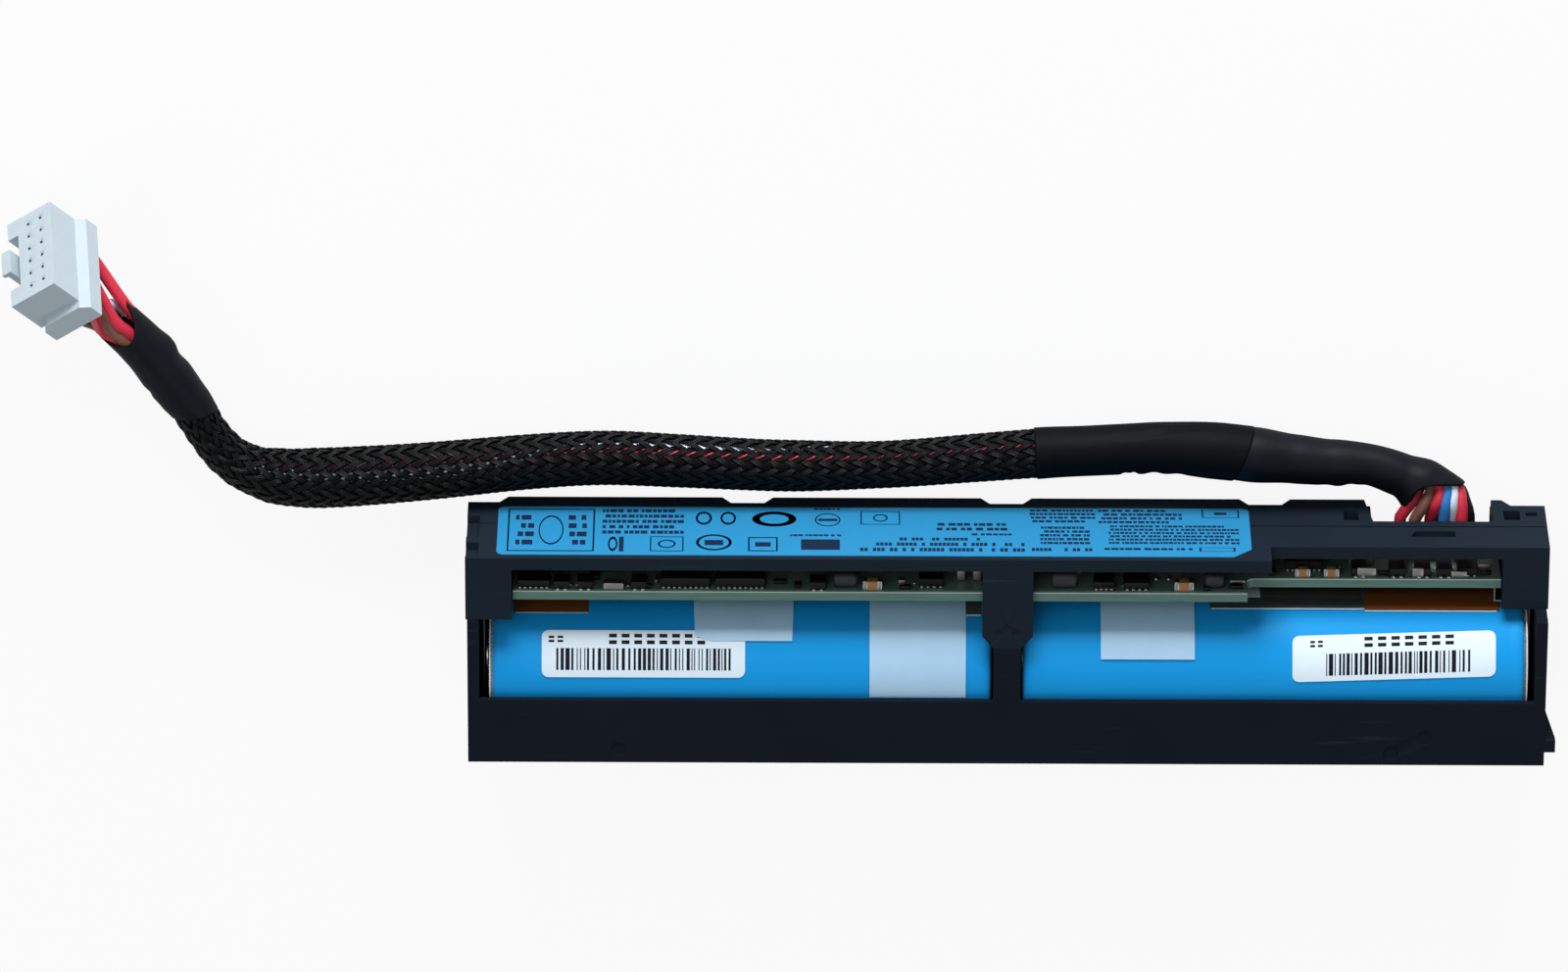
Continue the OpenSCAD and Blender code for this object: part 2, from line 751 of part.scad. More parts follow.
// A paper label on a cell, with round corners
module cell_label(span) {
    mid_x = (span[0] + span[1]) / 2;
    w = span[1] - span[0];
    mid_a = (span[2] + span[3]) / 2;
    h = 2 * (first_r + label_t) * sin((span[3] - span[2]) / 2);
    intersection() {
        film(first_r, label_t, [span[0] - w, span[1] + w, span[2] - label_margin_a,
            span[3] + label_margin_a]);
        translate([mid_x, cell_y, cell_z]) rotate([mid_a, 0, 0])
            translate([-w / 2, -h / 2, 0]) linear_extrude(cell_d)
                round_rect(w, h, label_corner_r);
    }
}

module cell_label_right() {
    color([0.84, 0.92, 0.97]) cell_label(label_right_span);
}

module cell_label_left() {
    color([0.84, 0.92, 0.97]) cell_label(label_left_span);
}

label_from_end = 3.8;
label_from_rim = 2.5;
label_right_x = end_x - label_from_end;
label_left_x = low_x + label_from_rim;
label_z0 = 4.8;
label_z1 = module_h - 1;
label_corner = 2.3;

module rating_label() {
    color([0.24, 0.69, 0.93])
        upright(front_y - label_t, label_t)
            difference() {
                translate([label_left_x, label_z0])
                    round_rect(label_right_x - label_left_x, label_z1 - label_z0, 1);
                translate([label_left_x, label_z1])
                    polygon([[-1, 1], [-1, -label_corner], [0, -label_corner],
                        [label_corner, 0], [label_corner, 1]]);
            }
}

// ---- Lead ----

// Where a wire meets the end of a sleeve: across and up from the sleeve's middle
function sleeve_place(i, across, up) =
    let (
        along = heading(lead_route, i),
        side = unit(cross(along, [0, 0, 1]))
    )
    lead_route[i] + across * side + up * cross(side, along);

module board_wire(w) {
    x = exit_x + w[1];
    dz = w[2];
    mouth = sleeve_place(0, -w[3] * wire_d, w[4] * wire_d);
    along = heading(lead_route, 0);
    under = [x, front_y + label_wall_t / 2, wire_under_z + dz];
    p = [[x, board_y, wire_board_z + dz], [x, inner_front_y + 1, wire_under_z + dz],
        under, (under + mouth) / 2 - 0.3 * along, mouth];
    tube(p, [for (q = p) wire_d / 2], wire_sides, [0, -1, 0], along);
}

// A wire from a contact of the plug to the end of the plug sleeve
module plug_wire(w) {
    last = len(lead_route) - 1;
    along = heading(lead_route, last);
    mouth = sleeve_place(last, w[3] * wire_d, w[4] * wire_d);
    x = (w[1] - 0.5) * pitch;
    z = (w[2] - (pins - 1) / 2) * pitch;
    behind = plug_point([x, plug_back_y - wire_behind, z]);
    inside = plug_point([x, plug_back_y + wire_inside, z]);
    p = [mouth, (mouth + behind) / 2 + 0.6 * along, behind, inside];
    tube(p, [for (q = p) plug_wire_share * wire_d / 2], wire_sides, along,
        unit(inside - behind));
}

module wires(name) {
    for (w = board_wires) if (w[0] == name) board_wire(w);
    for (w = plug_wires) if (w[0] == name) plug_wire(w);
}

module red_wires() {
    color([0.80, 0.15, 0.22]) wires("red");
}

module brown_wire() {
    color([0.45, 0.30, 0.26]) wires("brown");
}

module blue_wire() {
    color([0.20, 0.50, 0.78]) wires("blue");
}

module white_wire() {
    color([0.90, 0.93, 0.96]) wires("white");
}

module black_wires() {
    color([0.06, 0.06, 0.07]) wires("black");
}

module shrink_sleeve() {
    color([0.11, 0.12, 0.15])
        lead_part(0, sleeve_end, [for (share = sleeve_shrink) share * sleeve_d / 2]);
}

module tape_wrap() {
    color([0.11, 0.12, 0.15]) lead_part(sleeve_end, tape_wrap_end,
        [for (i = [sleeve_end : tape_wrap_end]) tape_wrap_d / 2]);
}

module braided_sleeve() {
    color([0.08, 0.09, 0.11])
        lead_part(tape_wrap_end, braid_end, [for (share = braid_swell) share * braid_d / 2]);
}

module plug_sleeve() {
    color([0.11, 0.12, 0.15])
        lead_part(braid_end, len(lead_route) - 1,
            [for (share = plug_sleeve_shrink) share * plug_sleeve_d / 2]);
}

// ---- Plug ----

// The plug is drawn with its mating face at y = 0, facing +Y, its two rows side by
// side along X, and its contacts in line along Z.
function turn_x(v, a) = [v[0], v[1] * cos(a) - v[2] * sin(a), v[1] * sin(a) + v[2] * cos(a)];
function turn_y(v, a) = [v[0] * cos(a) + v[2] * sin(a), v[1], v[2] * cos(a) - v[0] * sin(a)];
function turn_z(v, a) = [v[0] * cos(a) - v[1] * sin(a), v[0] * sin(a) + v[1] * cos(a), v[2]];
function plug_point(v) =
    plug_at + turn_z(turn_y(turn_x(v, plug_turn[0]), plug_turn[1]), plug_turn[2]);

module at_plug() {
    translate(plug_at) rotate(plug_turn) children();
}

module at_contacts() {
    for (row = [0, 1], i = [0 : pins - 1])
        translate([(row - 0.5) * pitch, 0, (i - (pins - 1) / 2) * pitch]) children();
}

rib_l = 2.6;
latch_gap = 0.9;
latch_t = 0.9;

// Outline of the plug's side, in Y and Z: body, slanted shoulder and flange
module plug_side(out_low, out_high) {
    half = plug_l / 2;
    shoulder = plug_body_l - out_high;
    polygon([[0, -half], [0, half], [-shoulder, half],
        [-plug_body_l, half + out_high], [plug_back_y, half + out_high],
        [plug_back_y, -half - out_low], [-plug_body_l, -half - out_low],
        [-shoulder, -half]]);
}

module plug_body() {
    // Body with its shoulder at the +Z end
    translate([-plug_t / 2, 0, 0]) rotate([90, 0, 90]) linear_extrude(plug_t)
        plug_side(0, flange_out);
    // Flange on both broad sides
    for (s = [-1, 1])
        translate([0, 0, -plug_l / 2]) linear_extrude(plug_l + flange_out)
            polygon([[0, -plug_body_l + 1], [s * plug_t / 2, -plug_body_l + 1],
                [s * (plug_t / 2 + flange_out), -plug_body_l],
                [s * (plug_t / 2 + flange_out), plug_back_y], [0, plug_back_y]]);
    // Keying ribs at both ends of the latch side
    for (z = [-plug_l / 2, plug_l / 2 - rib_l])
        box(-plug_t / 2 - rib_out, -plug_t / 2 + eps, -plug_body_l - eps, 0, z, z + rib_l);
}

latch_nose = 0.8;     // how far the latch reaches past the mating face
latch_tail = 0.5;     // and past the body's other end
latch_hook = 0.5;
latch_root = [3.6, 2.6];  // the web that carries it, from the mating face

module plug_latch() {
    x = -plug_t / 2 - latch_gap - latch_t;
    half = latch_l / 2;
    box(x, x + latch_t, -plug_body_l - latch_tail, latch_nose, -half, half);
    box(x, -plug_t / 2 + eps, -latch_root[0], -latch_root[1], -half, half);
    box(x - latch_hook, x + eps, latch_nose / 4, latch_nose, -half, half);
}

module plug_housing() {
    color([0.85, 0.91, 0.95])
        at_plug() difference() {
            union() {
                plug_body();
                plug_latch();
            }
            at_contacts() {
                rotate([90, 0, 0]) translate([0, 0, -eps])
                    cylinder(d = cavity_d, h = cavity_front + 2 * eps, $fn = 24);
                translate([-cavity_w / 2, plug_back_y - eps, -cavity_w / 2])
                    cube([cavity_w, -plug_back_y - cavity_front + eps, cavity_w]);
            }
        }
}

module plug_contacts() {
    color([0.80, 0.70, 0.45])
        at_plug() at_contacts()
            translate([0, -cavity_front - contact_l, 0]) difference() {
                w = cavity_w - 0.1;
                translate([-w / 2, 0, -w / 2]) cube([w, contact_l, w]);
                translate([0, contact_l - 2, 0]) rotate([-90, 0, 0])
                    cylinder(d = cavity_d, h = 3, $fn = 24);
            }
}

cell_tray();
board_cover();
cell_can(1);  // cell_can_right
cell_can(-1);  // cell_can_left
cell_wrap(1);  // cell_wrap_right
cell_wrap(-1);  // cell_wrap_left
end_rings();
end_strip_right();
end_strip_left();
series_strip();
sense_strip();
circuit_board();
power_packages();
control_chips();
transistors();
inductors();
ceramic_capacitors();
tantalum_capacitors();
crystal_cans();
solder_joints();
amber_strip_right();
amber_strip_left();
dark_pad();
paper_insulator();
tape_right();
tape_middle();
tape_left();
cell_label_right();
cell_label_left();
rating_label();
red_wires();
brown_wire();
blue_wire();
white_wire();
black_wires();
shrink_sleeve();
tape_wrap();
braided_sleeve();
plug_sleeve();
plug_housing();
plug_contacts();
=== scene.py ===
"""Dresses the backup battery module: mouldings, cells, board, labels and lead."""
import bisect
import json
import logging
import math
import random
from dataclasses import dataclass, field
from enum import Enum
from typing import Callable, Sequence

import bmesh
import bpy
from bmesh.types import BMesh
from bpy.types import Material, Node, NodeSocket, Object
from mathutils import Euler, Matrix, Vector


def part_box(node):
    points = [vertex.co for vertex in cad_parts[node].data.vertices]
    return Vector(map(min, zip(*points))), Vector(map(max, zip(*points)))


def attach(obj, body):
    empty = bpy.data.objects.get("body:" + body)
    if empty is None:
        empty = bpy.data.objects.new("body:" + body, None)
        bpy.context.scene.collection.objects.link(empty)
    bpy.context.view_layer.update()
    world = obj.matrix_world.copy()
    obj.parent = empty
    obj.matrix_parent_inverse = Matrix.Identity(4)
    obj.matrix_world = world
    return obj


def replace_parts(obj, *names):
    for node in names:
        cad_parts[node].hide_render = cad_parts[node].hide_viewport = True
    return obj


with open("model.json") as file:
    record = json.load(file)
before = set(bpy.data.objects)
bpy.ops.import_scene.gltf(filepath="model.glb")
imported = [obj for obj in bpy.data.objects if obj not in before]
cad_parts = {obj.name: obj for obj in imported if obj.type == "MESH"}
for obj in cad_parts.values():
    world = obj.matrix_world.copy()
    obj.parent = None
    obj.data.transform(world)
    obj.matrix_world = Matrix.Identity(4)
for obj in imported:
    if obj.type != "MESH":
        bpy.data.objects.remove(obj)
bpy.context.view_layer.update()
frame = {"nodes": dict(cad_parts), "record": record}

MM = 0.001
ROOT = "root"
LOG = logging.getLogger("battery_module")
UP = Vector((0, 0, 1))
BOARD_FRONT = -9.45 * MM
Triple = tuple[float, float, float]


class Mark(Enum):
    """The generic shapes that stand for print."""

    BAR = "bar"
    FRAME = "frame"
    RING = "ring"
    WORDS = "words"
    GRID = "grid"


# ---- Node trees and finishes ----


class Tree:
    """A material's node tree, with short calls that add and join nodes."""

    def __init__(self, name: str, colour: Triple, roughness: float, specular: float) -> None:
        """Starts a material.

        Args:
            name: The material's name.
            colour: Its linear base colour.
            roughness: Its roughness.
            specular: Its specular level, of which 0.5 is the usual.
        """
        self.material = bpy.data.materials.new(name)
        self.material.use_nodes = True
        self.nodes = self.material.node_tree.nodes
        self.links = self.material.node_tree.links
        self.shader = self.nodes["Principled BSDF"]
        self.set("Base Color", (*colour, 1.0))
        self.set("Roughness", roughness)
        self.set("Specular IOR Level", specular)
        self.material.diffuse_color = (*colour, 1.0)

    def set(self, socket: str, value: object) -> None:
        """Sets one of the shader's own sockets."""
        self.shader.inputs[socket].default_value = value

    def add(self, kind: str, settings: dict | None = None, **inputs: object) -> Node:
        """Adds a node.

        Args:
            kind: The node's type, without its ShaderNode prefix.
            settings: Properties of the node.
            inputs: Values or output sockets for its inputs. A name has _ for a space, or is
                n and the input's number.

        Returns:
            The new node.
        """
        node = self.nodes.new("ShaderNode" + kind)
        for key, value in (settings or {}).items():
            setattr(node, key, value)
        for key, value in inputs.items():
            numbered = key[:1] == "n" and key[1:].isdigit()
            socket = node.inputs[int(key[1:]) if numbered else key.replace("_", " ")]
            if isinstance(value, NodeSocket):
                self.links.new(value, socket)
            else:
                socket.default_value = value
        return node

    def place(self) -> NodeSocket:
        """Returns the object coordinates, in metres."""
        return self.add("TexCoord").outputs["Object"]

    def stretched(self, *scale: float) -> NodeSocket:
        """Returns object coordinates scaled by three numbers."""
        return self.add("Mapping", Vector=self.place(), Scale=scale).outputs["Vector"]

    def noise(self, vector: NodeSocket, scale: float = 1.0, detail: float = 3.0) -> NodeSocket:
        """Returns a noise value from 0 to 1 at scale cycles for each unit of vector."""
        return self.add("TexNoise", Vector=vector, Scale=scale, Detail=detail).outputs["Fac"]

    def ramp(self, value: NodeSocket, low: float, high: float) -> NodeSocket:
        """Returns value spread from low..high to 0..1, and clamped."""
        return self.add("MapRange", Value=value, From_Min=low, From_Max=high).outputs["Result"]

    def math(self, operation: str, a: object, b: object = 0.0) -> NodeSocket:
        """Returns one arithmetic step on two values."""
        return self.add("Math", {"operation": operation}, n0=a, n1=b).outputs[0]

    def mix(self, share: object, a: object, b: object) -> NodeSocket:
        """Returns a colour between a and b.

        Args:
            share: How much of b there is.
            a: First colour, or a socket.
            b: Second colour, or a socket.

        Returns:
            The colour socket.
        """
        a, b = (c if isinstance(c, NodeSocket) else (*c, 1.0) for c in (a, b))
        return self.add("Mix", {"data_type": "RGBA"}, n0=share, n6=a, n7=b).outputs[2]

    def shade(self, value: object, colour: Triple, low: float, high: float) -> NodeSocket:
        """Returns a colour that runs from low to high times another with a value."""
        return self.mix(value, *(tuple(c * share for c in colour) for share in (low, high)))

    def colour(self, socket: NodeSocket) -> None:
        """Joins a colour to the shader."""
        self.links.new(socket, self.shader.inputs["Base Color"])

    def rough(self, value: NodeSocket, low: float, high: float) -> None:
        """Lets the roughness run from low to high with a value from 0 to 1."""
        spread = self.add("MapRange", Value=value, To_Min=low, To_Max=high)
        self.links.new(spread.outputs["Result"], self.shader.inputs["Roughness"])

    def bump(self, height: NodeSocket, depth: float) -> None:
        """Adds surface relief of a depth in metres, over any that is there."""
        node = self.add("Bump", Height=height, Distance=depth, Strength=1.0)
        socket = self.shader.inputs["Normal"]
        if socket.is_linked:
            self.links.new(socket.links[0].from_socket, node.inputs["Normal"])
        self.links.new(node.outputs["Normal"], socket)


@dataclass(frozen=True)
class Finish:
    """A material's name, linear base colour, roughness and specular level."""

    name: str
    base: Triple
    roughness: float = 0.45
    specular: float = 0.5

    def make(self) -> Material:
        """Returns the material."""
        tree = Tree(self.name, self.base, self.roughness, self.specular)
        self.dress(tree)
        return tree.material

    def dress(self, t: Tree) -> None:
        """Adds what makes this kind of finish.

        Args:
            t: The material's tree.
        """
        raise NotImplementedError


@dataclass(frozen=True)
class MouldedPlastic(Finish):
    """Fine grained moulded plastic with a few pale scuffs."""

    specular: float = 0.3
    grain: float = 0.00001
    scuffs: float = 0.5

    def dress(self, t: Tree) -> None:
        """Adds clouds, scuffs and grain."""
        place = t.place()
        cloud = t.noise(place, 90)
        tone = t.shade(cloud, self.base, 0.85, 1.18)
        scratch = t.ramp(t.noise(t.stretched(60, 900, 900), detail=5), 0.66, 0.74)
        scratch = t.math("MULTIPLY", scratch, self.scuffs)
        t.colour(t.mix(scratch, tone, tuple(c * 2.2 + 0.004 for c in self.base)))
        t.rough(cloud, self.roughness - 0.06, self.roughness + 0.08)
        t.bump(t.noise(place, 5200, 2), self.grain)


@dataclass(frozen=True)
class ShrinkFilm(Finish):
    """Shrink film, with slight drawing marks round the cell."""

    specular: float = 0.06

    def dress(self, t: Tree) -> None:
        """Adds the drawing marks."""
        soft = t.noise(t.stretched(25, 60, 60))
        t.colour(t.shade(soft, self.base, 0.93, 1.07))
        t.rough(soft, 0.36, 0.48)
        t.bump(t.noise(t.stretched(40, 300, 300)), 0.00003)


@dataclass(frozen=True)
class Paper(Finish):
    """Coated label paper or film, or the ink on it."""

    specular: float = 0.08

    def dress(self, t: Tree) -> None:
        """Adds the fibres."""
        t.colour(t.shade(t.noise(t.place(), 700, 4), self.base, 0.97, 1.02))
        t.bump(t.noise(t.place(), 2500, 2), 0.000004)


@dataclass(frozen=True)
class ClearTape(Finish):
    """Pale see-through tape with faint trapped air."""

    roughness: float = 0.38
    specular: float = 0.3
    alpha: float = 0.86

    def dress(self, t: Tree) -> None:
        """Lets the light through, and adds the air."""
        t.set("Alpha", self.alpha)
        t.colour(t.shade(t.noise(t.stretched(160, 90, 90), detail=4), self.base, 0.9, 1.08))
        t.bump(t.noise(t.stretched(300, 120, 120), detail=2), 0.00004)


@dataclass(frozen=True)
class Metal(Finish):
    """Plated or tinned metal with fine brushing along one way."""

    brushing: Triple = (400, 3000, 3000)

    def dress(self, t: Tree) -> None:
        """Adds the brushing."""
        t.set("Metallic", 1.0)
        lines = t.noise(t.stretched(*self.brushing))
        t.colour(t.shade(lines, self.base, 0.85, 1))
        t.rough(lines, self.roughness - 0.08, self.roughness + 0.12)
        t.bump(lines, 0.000005)


@dataclass(frozen=True)
class Laminate(Finish):
    """Circuit board: lacquered faces, glass fibre edges, and a painted highlight along the front
    corner of each edge.
    """

    roughness: float = 0.4
    specular: float = 0.3
    edge: Triple = (0.095, 0.18, 0.155)
    # rim is the colour of the painted highlight along each edge's front corner; its width is the
    # next field
    rim: Triple = (0.46, 0.52, 0.5)
    highlight_rim_w: float = 0.14 * MM

    def dress(self, t: Tree) -> None:
        """Parts the faces from the edges, and the painted highlight at an edge's front corner from
        the rest of it.
        """
        facing = t.add("SeparateXYZ", Vector=t.add("NewGeometry").outputs["Normal"])
        flat = t.ramp(t.math("ABSOLUTE", facing.outputs["Y"]), 0.5, 0.7)
        fibre = t.noise(t.stretched(150, 3000, 500))
        depth = t.add("SeparateXYZ", Vector=t.place()).outputs["Y"]
        # Painted highlight: a pale line where each edge meets the board's front face
        highlight_share = t.ramp(depth, BOARD_FRONT + self.highlight_rim_w, BOARD_FRONT + self.highlight_rim_w / 2)
        edge = t.mix(highlight_share, t.shade(fibre, self.edge, 0.6, 1.3), self.rim)
        t.colour(t.mix(flat, edge, t.shade(t.noise(t.place(), 250), self.base, 0.7, 1.3)))
        t.bump(fibre, 0.00001)


@dataclass(frozen=True)
class Insulation(Finish):
    """Smooth insulation of a wire, a little mottled."""

    roughness: float = 0.38
    specular: float = 0.25

    def dress(self, t: Tree) -> None:
        """Adds the mottling."""
        t.colour(t.shade(t.noise(t.place(), 350), self.base, 0.85, 1.1))
        t.bump(t.noise(t.place(), 1200, 2), 0.00001)


@dataclass(frozen=True)
class SleeveRubber(Finish):
    """Black shrink tube or tape with soft creases."""

    roughness: float = 0.5
    specular: float = 0.12
    creases: float = 0.00008

    def dress(self, t: Tree) -> None:
        """Adds clouds, creases and grain."""
        place = t.place()
        cloud = t.noise(place, 160, 4)
        t.colour(t.shade(cloud, self.base, 0.75, 1.35))
        t.rough(cloud, self.roughness - 0.1, self.roughness + 0.1)
        t.bump(t.noise(t.stretched(180, 420, 300)), self.creases)
        t.bump(t.noise(place, 4000, 2), 0.000008)


@dataclass(frozen=True)
class BraidFilament(Finish):
    """Ribbons of black filaments, ridged along their length by the piece's own UV map, and darkened
    by painted shade in the grooves between them.
    """

    roughness: float = 0.36
    specular: float = 0.17
    filaments: int = 3

    def dress(self, t: Tree) -> None:
        """Adds a ridge for each filament, with painted shade in the grooves between them."""
        uv = t.add("SeparateXYZ", Vector=t.add("TexCoord").outputs["UV"])
        across = t.math("MULTIPLY", uv.outputs["Y"], self.filaments * math.tau)
        ridge_and_groove_shade = t.math("ABSOLUTE", t.math("SINE", t.math("MULTIPLY", across, 0.5)))
        tone = t.shade(t.noise(t.place(), 300), self.base, 0.7, 1.5)
        # Painted shade: the colour falls to a third of the base in the grooves between filaments
        # and at the ribbon's edges
        t.colour(t.mix(ridge_and_groove_shade, tuple(c * 0.35 for c in self.base), tone))
        t.bump(ridge_and_groove_shade, 0.00008)


@dataclass(frozen=True)
class MilkyNylon(Finish):
    """Milky unfilled nylon that lets a little light in."""

    roughness: float = 0.4
    specular: float = 0.3

    def dress(self, t: Tree) -> None:
        """Lets the light in, and adds clouds and grain."""
        t.set("Subsurface Weight", 0.25)
        t.set("Subsurface Radius", (1.0, 1.0, 1.0))
        t.set("Subsurface Scale", 0.0005)
        t.colour(t.shade(t.noise(t.place(), 220), self.base, 0.94, 1.03))
        t.bump(t.noise(t.place(), 3000, 2), 0.000006)


@dataclass(frozen=True)
class Palette:
    """Every finish of the module, by the record's slot names."""

    finishes: tuple = (
        MouldedPlastic("tray_plastic", (0.0079, 0.0112, 0.0182), 0.58, 0.02),
        MouldedPlastic("cover_plastic", (0.0106, 0.0175, 0.0275), 0.58, 0.03),
        Metal("can_steel", (0.62, 0.64, 0.66), 0.25),
        ShrinkFilm("cell_wrap_film", (0.009, 0.3, 0.72)),
        Paper("ring_paper", (0.72, 0.75, 0.76), 0.6),
        Metal("nickel", (0.42, 0.4, 0.36), 0.38),
        Metal("sense_metal", (0.2, 0.23, 0.22), 0.5, brushing=(3000, 300, 300)),
        Laminate("board_laminate", (0.12, 0.2, 0.165)),
        MouldedPlastic("package_black", (0.007, 0.007, 0.008), 0.45, 0.3, 0.000006, 0.2),
        MouldedPlastic("ferrite", (0.03, 0.032, 0.034), 0.5, 0.35, 0.000012, 0.3),
        MouldedPlastic("capacitor_tan", (0.36, 0.17, 0.06), 0.45, 0.5, 0.000006, 0.2),
        Metal("capacitor_metal", (0.42, 0.42, 0.4), 0.42),
        Metal("solder", (0.5, 0.52, 0.52), 0.34),
        ShrinkFilm("amber_film", (0.14, 0.045, 0.011)),
        MouldedPlastic("dark_foam", (0.05, 0.052, 0.044), 0.8, grain=0.00004),
        ClearTape("clear_tape", (0.45, 0.7, 0.92)),
        Paper("cell_label_paper", (0.7, 0.82, 0.92)),
        Paper("rating_label_film", (0.024, 0.235, 0.47), 0.42),
        Paper("print_ink", (0.01, 0.02, 0.055)),
        Paper("bar_ink", (0.009, 0.009, 0.016)),
        Insulation("wire_red", (0.6, 0.03, 0.06)),
        Insulation("wire_brown", (0.19, 0.085, 0.06)),
        Insulation("wire_blue", (0.03, 0.2, 0.55)),
        Insulation("wire_white", (0.72, 0.83, 0.95)),
        Insulation("wire_black", (0.008, 0.008, 0.01)),
        SleeveRubber("shrink_tube", (0.0044, 0.0058, 0.009)),
        SleeveRubber("wrap_tape", (0.0026, 0.0034, 0.0046), 0.55, 0.06, 0.00006),
        BraidFilament("braid", (0.0017, 0.0021, 0.0028)),
        MilkyNylon("plug_nylon", (0.46, 0.54, 0.585)),
        Metal("contact_metal", (0.7, 0.55, 0.3), 0.3),
    )
    made: dict[str, Material] = field(default_factory=dict)

    def get(self, name: str) -> Material:
        """Returns the material of a name, made on its first use."""
        if name not in self.made:
            finish = next(f for f in self.finishes if f.name == name)
            self.made[name] = finish.make()
        return self.made[name]


PALETTE = Palette()


# ---- Pieces ----


def meshed(name: str, bm: BMesh) -> bpy.types.Mesh:
    """Returns a new mesh with a bmesh's shape, and frees the bmesh."""
    mesh = bpy.data.meshes.new(name)
    bm.to_mesh(mesh)
    bm.free()
    return mesh


def in_scene(name: str, data: bpy.types.ID) -> Object:
    """Returns a new object of the scene, made of a mesh, a lamp's or a camera's data."""
    made = bpy.data.objects.new(name, data)
    bpy.context.scene.collection.objects.link(made)
    return made


def as_piece(name: str, bm: BMesh, slot: str, smooth_below: float = 35.0,
             finish: str | None = None, outward: bool = True) -> Object:
    """Turns a bmesh into a piece that rides on the module.

    Args:
        name: The piece's name.
        bm: Its shape, in metres in the row frame. It is freed.
        slot: The record's material slot.
        smooth_below: Edges under this angle in degrees are shaded smooth.
        finish: The palette's name of its material, where that isn't the slot's.
        outward: Whether its faces are turned outward first.

    Returns:
        The object.
    """
    if outward:
        bmesh.ops.recalc_face_normals(bm, faces=bm.faces)
    for face in bm.faces:
        face.smooth = True
    mesh = meshed(name, bm)
    mesh.set_sharp_from_angle(angle=math.radians(smooth_below))
    mesh.materials.append(PALETTE.get(finish or slot))
    piece = in_scene(name, mesh)
    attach(piece, ROOT)
    LOG.info("made %s", name)
    return piece


def dress_node(node: str, slot: str) -> Object:
    """Gives a CAD node its slot's material.

    Args:
        node: The node's name.
        slot: The record's material slot.

    Returns:
        The node's object.
    """
    piece = frame["nodes"][node]
    piece.data.materials.clear()
    piece.data.materials.append(PALETTE.get(slot))
    LOG.info("dressed %s", node)
    return piece


def merged_copy(node: str) -> BMesh:
    """Returns a node's mesh with its doubles merged and its flat faces joined."""
    bm = bmesh.new()
    bm.from_mesh(frame["nodes"][node].data)
    bmesh.ops.remove_doubles(bm, verts=bm.verts, dist=1e-6)
    bmesh.ops.dissolve_limit(bm, angle_limit=math.radians(1), verts=bm.verts, edges=bm.edges)
    return bm


def moulded_copy(name: str, node: str, slot: str, radius: float,
                 segments: int = 2) -> Object:
    """Replaces a CAD node by a copy with its sharp edges rounded.

    Args:
        name: The new piece's name.
        node: The CAD node.
        slot: The record's material slot.
        radius: The edge radius in metres.
        segments: Steps round each edge.

    Returns:
        The new piece.
    """
    bm = merged_copy(node)
    limit = math.radians(30)
    sharp = [e for e in bm.edges if len(e.link_faces) == 2 and e.calc_face_angle(0) > limit]
    bmesh.ops.bevel(bm, geom=sharp, offset=radius, segments=segments, profile=0.5,
                    affect="EDGES", clamp_overlap=True, material=-1)
    bmesh.ops.triangulate(bm, faces=[f for f in bm.faces if len(f.verts) > 4])
    piece = as_piece(name, bm, slot, 40, outward=False)
    weighted = piece.modifiers.new("even shading", "WEIGHTED_NORMAL")
    weighted.keep_sharp = True
    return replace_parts(piece, node)


def block(bm: BMesh, low: Sequence[float], high: Sequence[float],
          radius: float = 0.0) -> None:
    """Adds a box with rounded edges.

    Args:
        bm: The mesh that it joins.
        low: Its lowest corner in metres.
        high: Its highest corner.
        radius: The radius of its edges.
    """
    new = bmesh.ops.create_cube(bm, size=1)["verts"]
    for v in new:
        v.co = Vector([a + (c + 0.5) * (b - a) for a, b, c in zip(low, high, v.co)])
    if radius:
        edges = {e for v in new for e in v.link_edges}
        bmesh.ops.bevel(bm, geom=list(edges), offset=radius, segments=2, profile=0.5,
                        affect="EDGES", clamp_overlap=True, material=-1)


def unit_grid(bm: BMesh, columns: int, rows: int) -> list[tuple]:
    """Adds a flat grid, whose vertices are to be moved into a shape.

    Args:
        bm: The mesh that it joins.
        columns: How many faces it has along.
        rows: How many faces it has across.

    Returns:
        Each vertex, with how far along and across it is, from 0 to 1.
    """
    new = bmesh.ops.create_grid(bm, x_segments=columns, y_segments=rows, size=0.5)["verts"]
    return [(v, v.co.x + 0.5, v.co.y + 0.5) for v in new]


def islands(node: str) -> list[tuple[Vector, Vector]]:
    """Finds the loose parts of a CAD node.

    Args:
        node: The node's name.

    Returns:
        The lowest and the highest corner of each part.
    """
    bm = merged_copy(node)
    left = set(bm.verts)
    found = []
    while left:
        stack = [left.pop()]
        group = []
        while stack:
            vert = stack.pop()
            group.append(vert.co.copy())
            near = [e.other_vert(vert) for e in vert.link_edges]
            stack += [v for v in near if v in left]
            left.difference_update(near)
        found.append((Vector(map(min, *group)), Vector(map(max, *group))))
    bm.free()
    return sorted(found, key=lambda part: part[0].x)


def ease(value: float) -> float:
    """Returns a smooth step from 0 to 1."""
    value = min(max(value, 0.0), 1.0)
    return value * value * (3 - 2 * value)


def blend_table(table: Sequence[tuple[float, float]], at: float) -> float:
    """Reads a table of (place, value) with smooth steps between its rows.

    Args:
        table: Rows in rising order of place.
        at: The place to read.

    Returns:
        The value there.
    """
    if at <= table[0][0]:
        return table[0][1]
    for (a, va), (b, vb) in zip(table, table[1:]):
        if at <= b:
            return va + (vb - va) * ease((at - a) / (b - a))
    return table[-1][1]


